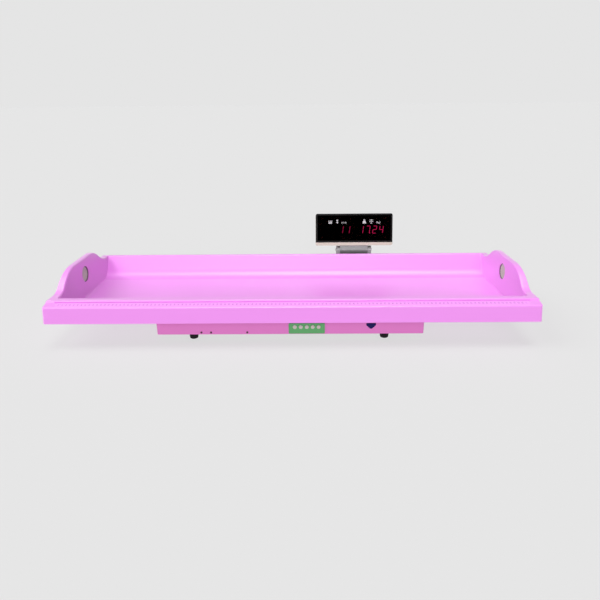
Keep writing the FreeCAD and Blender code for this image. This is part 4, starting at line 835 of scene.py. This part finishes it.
def add_sign(form, middle, outlines):
    """Adds a printed sign: outlines in units of the sign's height, about its middle."""
    for outline in outlines:
        places = [(middle + u * sign_height, sign_level + v * sign_height)
                  for u, v in outline]
        add_plate(form, places, sign_face - sign_ink_height, sign_face)


def bar(u0, u1, v0, v1):
    """Outline of an upright rectangle."""
    return [(u0, v0), (u1, v0), (u1, v1), (u0, v1)]


ruler_sign = [bar(-0.42, 0.42, -0.5, -0.38), bar(-0.42, -0.3, -0.38, 0.3),
              bar(0.3, 0.42, -0.38, 0.3), bar(-0.06, 0.06, -0.38, 0.3),
              bar(-0.24, -0.12, -0.38, 0.0), bar(0.12, 0.24, -0.38, 0.0)]
arrow_sign = [bar(-0.07, 0.07, -0.2, 0.2), [(-0.3, 0.18), (0.3, 0.18), (0, 0.5)],
              [(-0.3, -0.18), (0, -0.5), (0.3, -0.18)]]
weight_sign = [[(-0.45, -0.5), (0.45, -0.5), (0.3, 0.12), (-0.3, 0.12)],
               bar(-0.16, -0.05, 0.12, 0.42), bar(0.05, 0.16, 0.12, 0.42),
               bar(-0.16, 0.16, 0.42, 0.5)]
balance_sign = [bar(-0.05, 0.05, -0.4, 0.5), bar(-0.45, 0.45, 0.26, 0.36),
                bar(-0.22, 0.22, -0.5, -0.4), [(-0.48, 0.0), (-0.36, -0.16),
                (-0.24, -0.16), (-0.12, 0.0)], [(0.12, 0.0), (0.24, -0.16),
                (0.36, -0.16), (0.48, 0.0)]]
sign_places = ((-0.0792, ruler_sign), (-0.0562, arrow_sign), (0.0335, weight_sign),
               (0.0568, balance_sign))
signs = bmesh.new()
for middle, outlines in sign_places:
    add_sign(signs, middle, outlines)
sign_meshes = [head_mesh("signs", signs)]
for words, middle in unit_places:
    unit = flat_text(words, unit_height, sign_ink_height)
    unit.transform(on_head @ Matrix.Translation((middle, sign_face, sign_level - unit_drop))
                   @ Matrix.Rotation(math.pi / 2, 4, "X"))
    sign_meshes.append(unit)
add_piece("window_signs", joined_mesh("window_signs", sign_meshes), sign_white,
          "display", "key_white")

# ---- Rear sockets --------------------------------------------------------------------
# A small power socket and a rocker switch in its frame, both moulded in black plastic
# and set from outside into cut-outs in the base's back wall.
for node, body in (("power_inlet", "base"), ("rocker_frame", "base"), ("rocker", "rocker")):
    smooth_copy(node, node + "_moulding", plain_black, body, "switch_black", bevel=fine_edge)

# ---- Works inside --------------------------------------------------------------------
# A plated platform and chassis, with the aluminium load cell bolted between them. Boards
# on standoffs, fixings and rubber pads go with them, and show only when it is open.
cell_metal = finish("cell_metal", (0.72, 0.73, 0.74), 0.3, fineness=600, drift=60,
                    tone=0.06, Metallic=1.0)
board_green = finish("board_green", (0.015, 0.13, 0.05), 0.35, fineness=1200, drift=120,
                     tone=0.25, Coat_Weight=0.3)
pad_rubber = finish("pad_rubber", (0.02, 0.02, 0.02), 0.75, depth=0.00006, tone=0.15)
works = (
    (plated_sheet, ("platform", "chassis", "arm_backing")),
    (cell_metal, ("load_cell", "fixed_spacer", "live_spacer")),
    (screw_zinc, ("fixed_bolts", "live_bolts", "stop_screws", "stop_nuts", "tray_screws",
                  "board_screws", "key_board_screws", "block_screws", "head_board_screws",
                  "board_standoffs")),
    (board_green, ("main_board", "power_board", "key_board", "head_board",
                   "sensor_boards")),
    (plain_black, ("key_switches",)),
    (pad_rubber, ("tray_pads",)),
)
for material, nodes in works:
    for node in nodes:
        set_material(frame["nodes"][node].data, material)
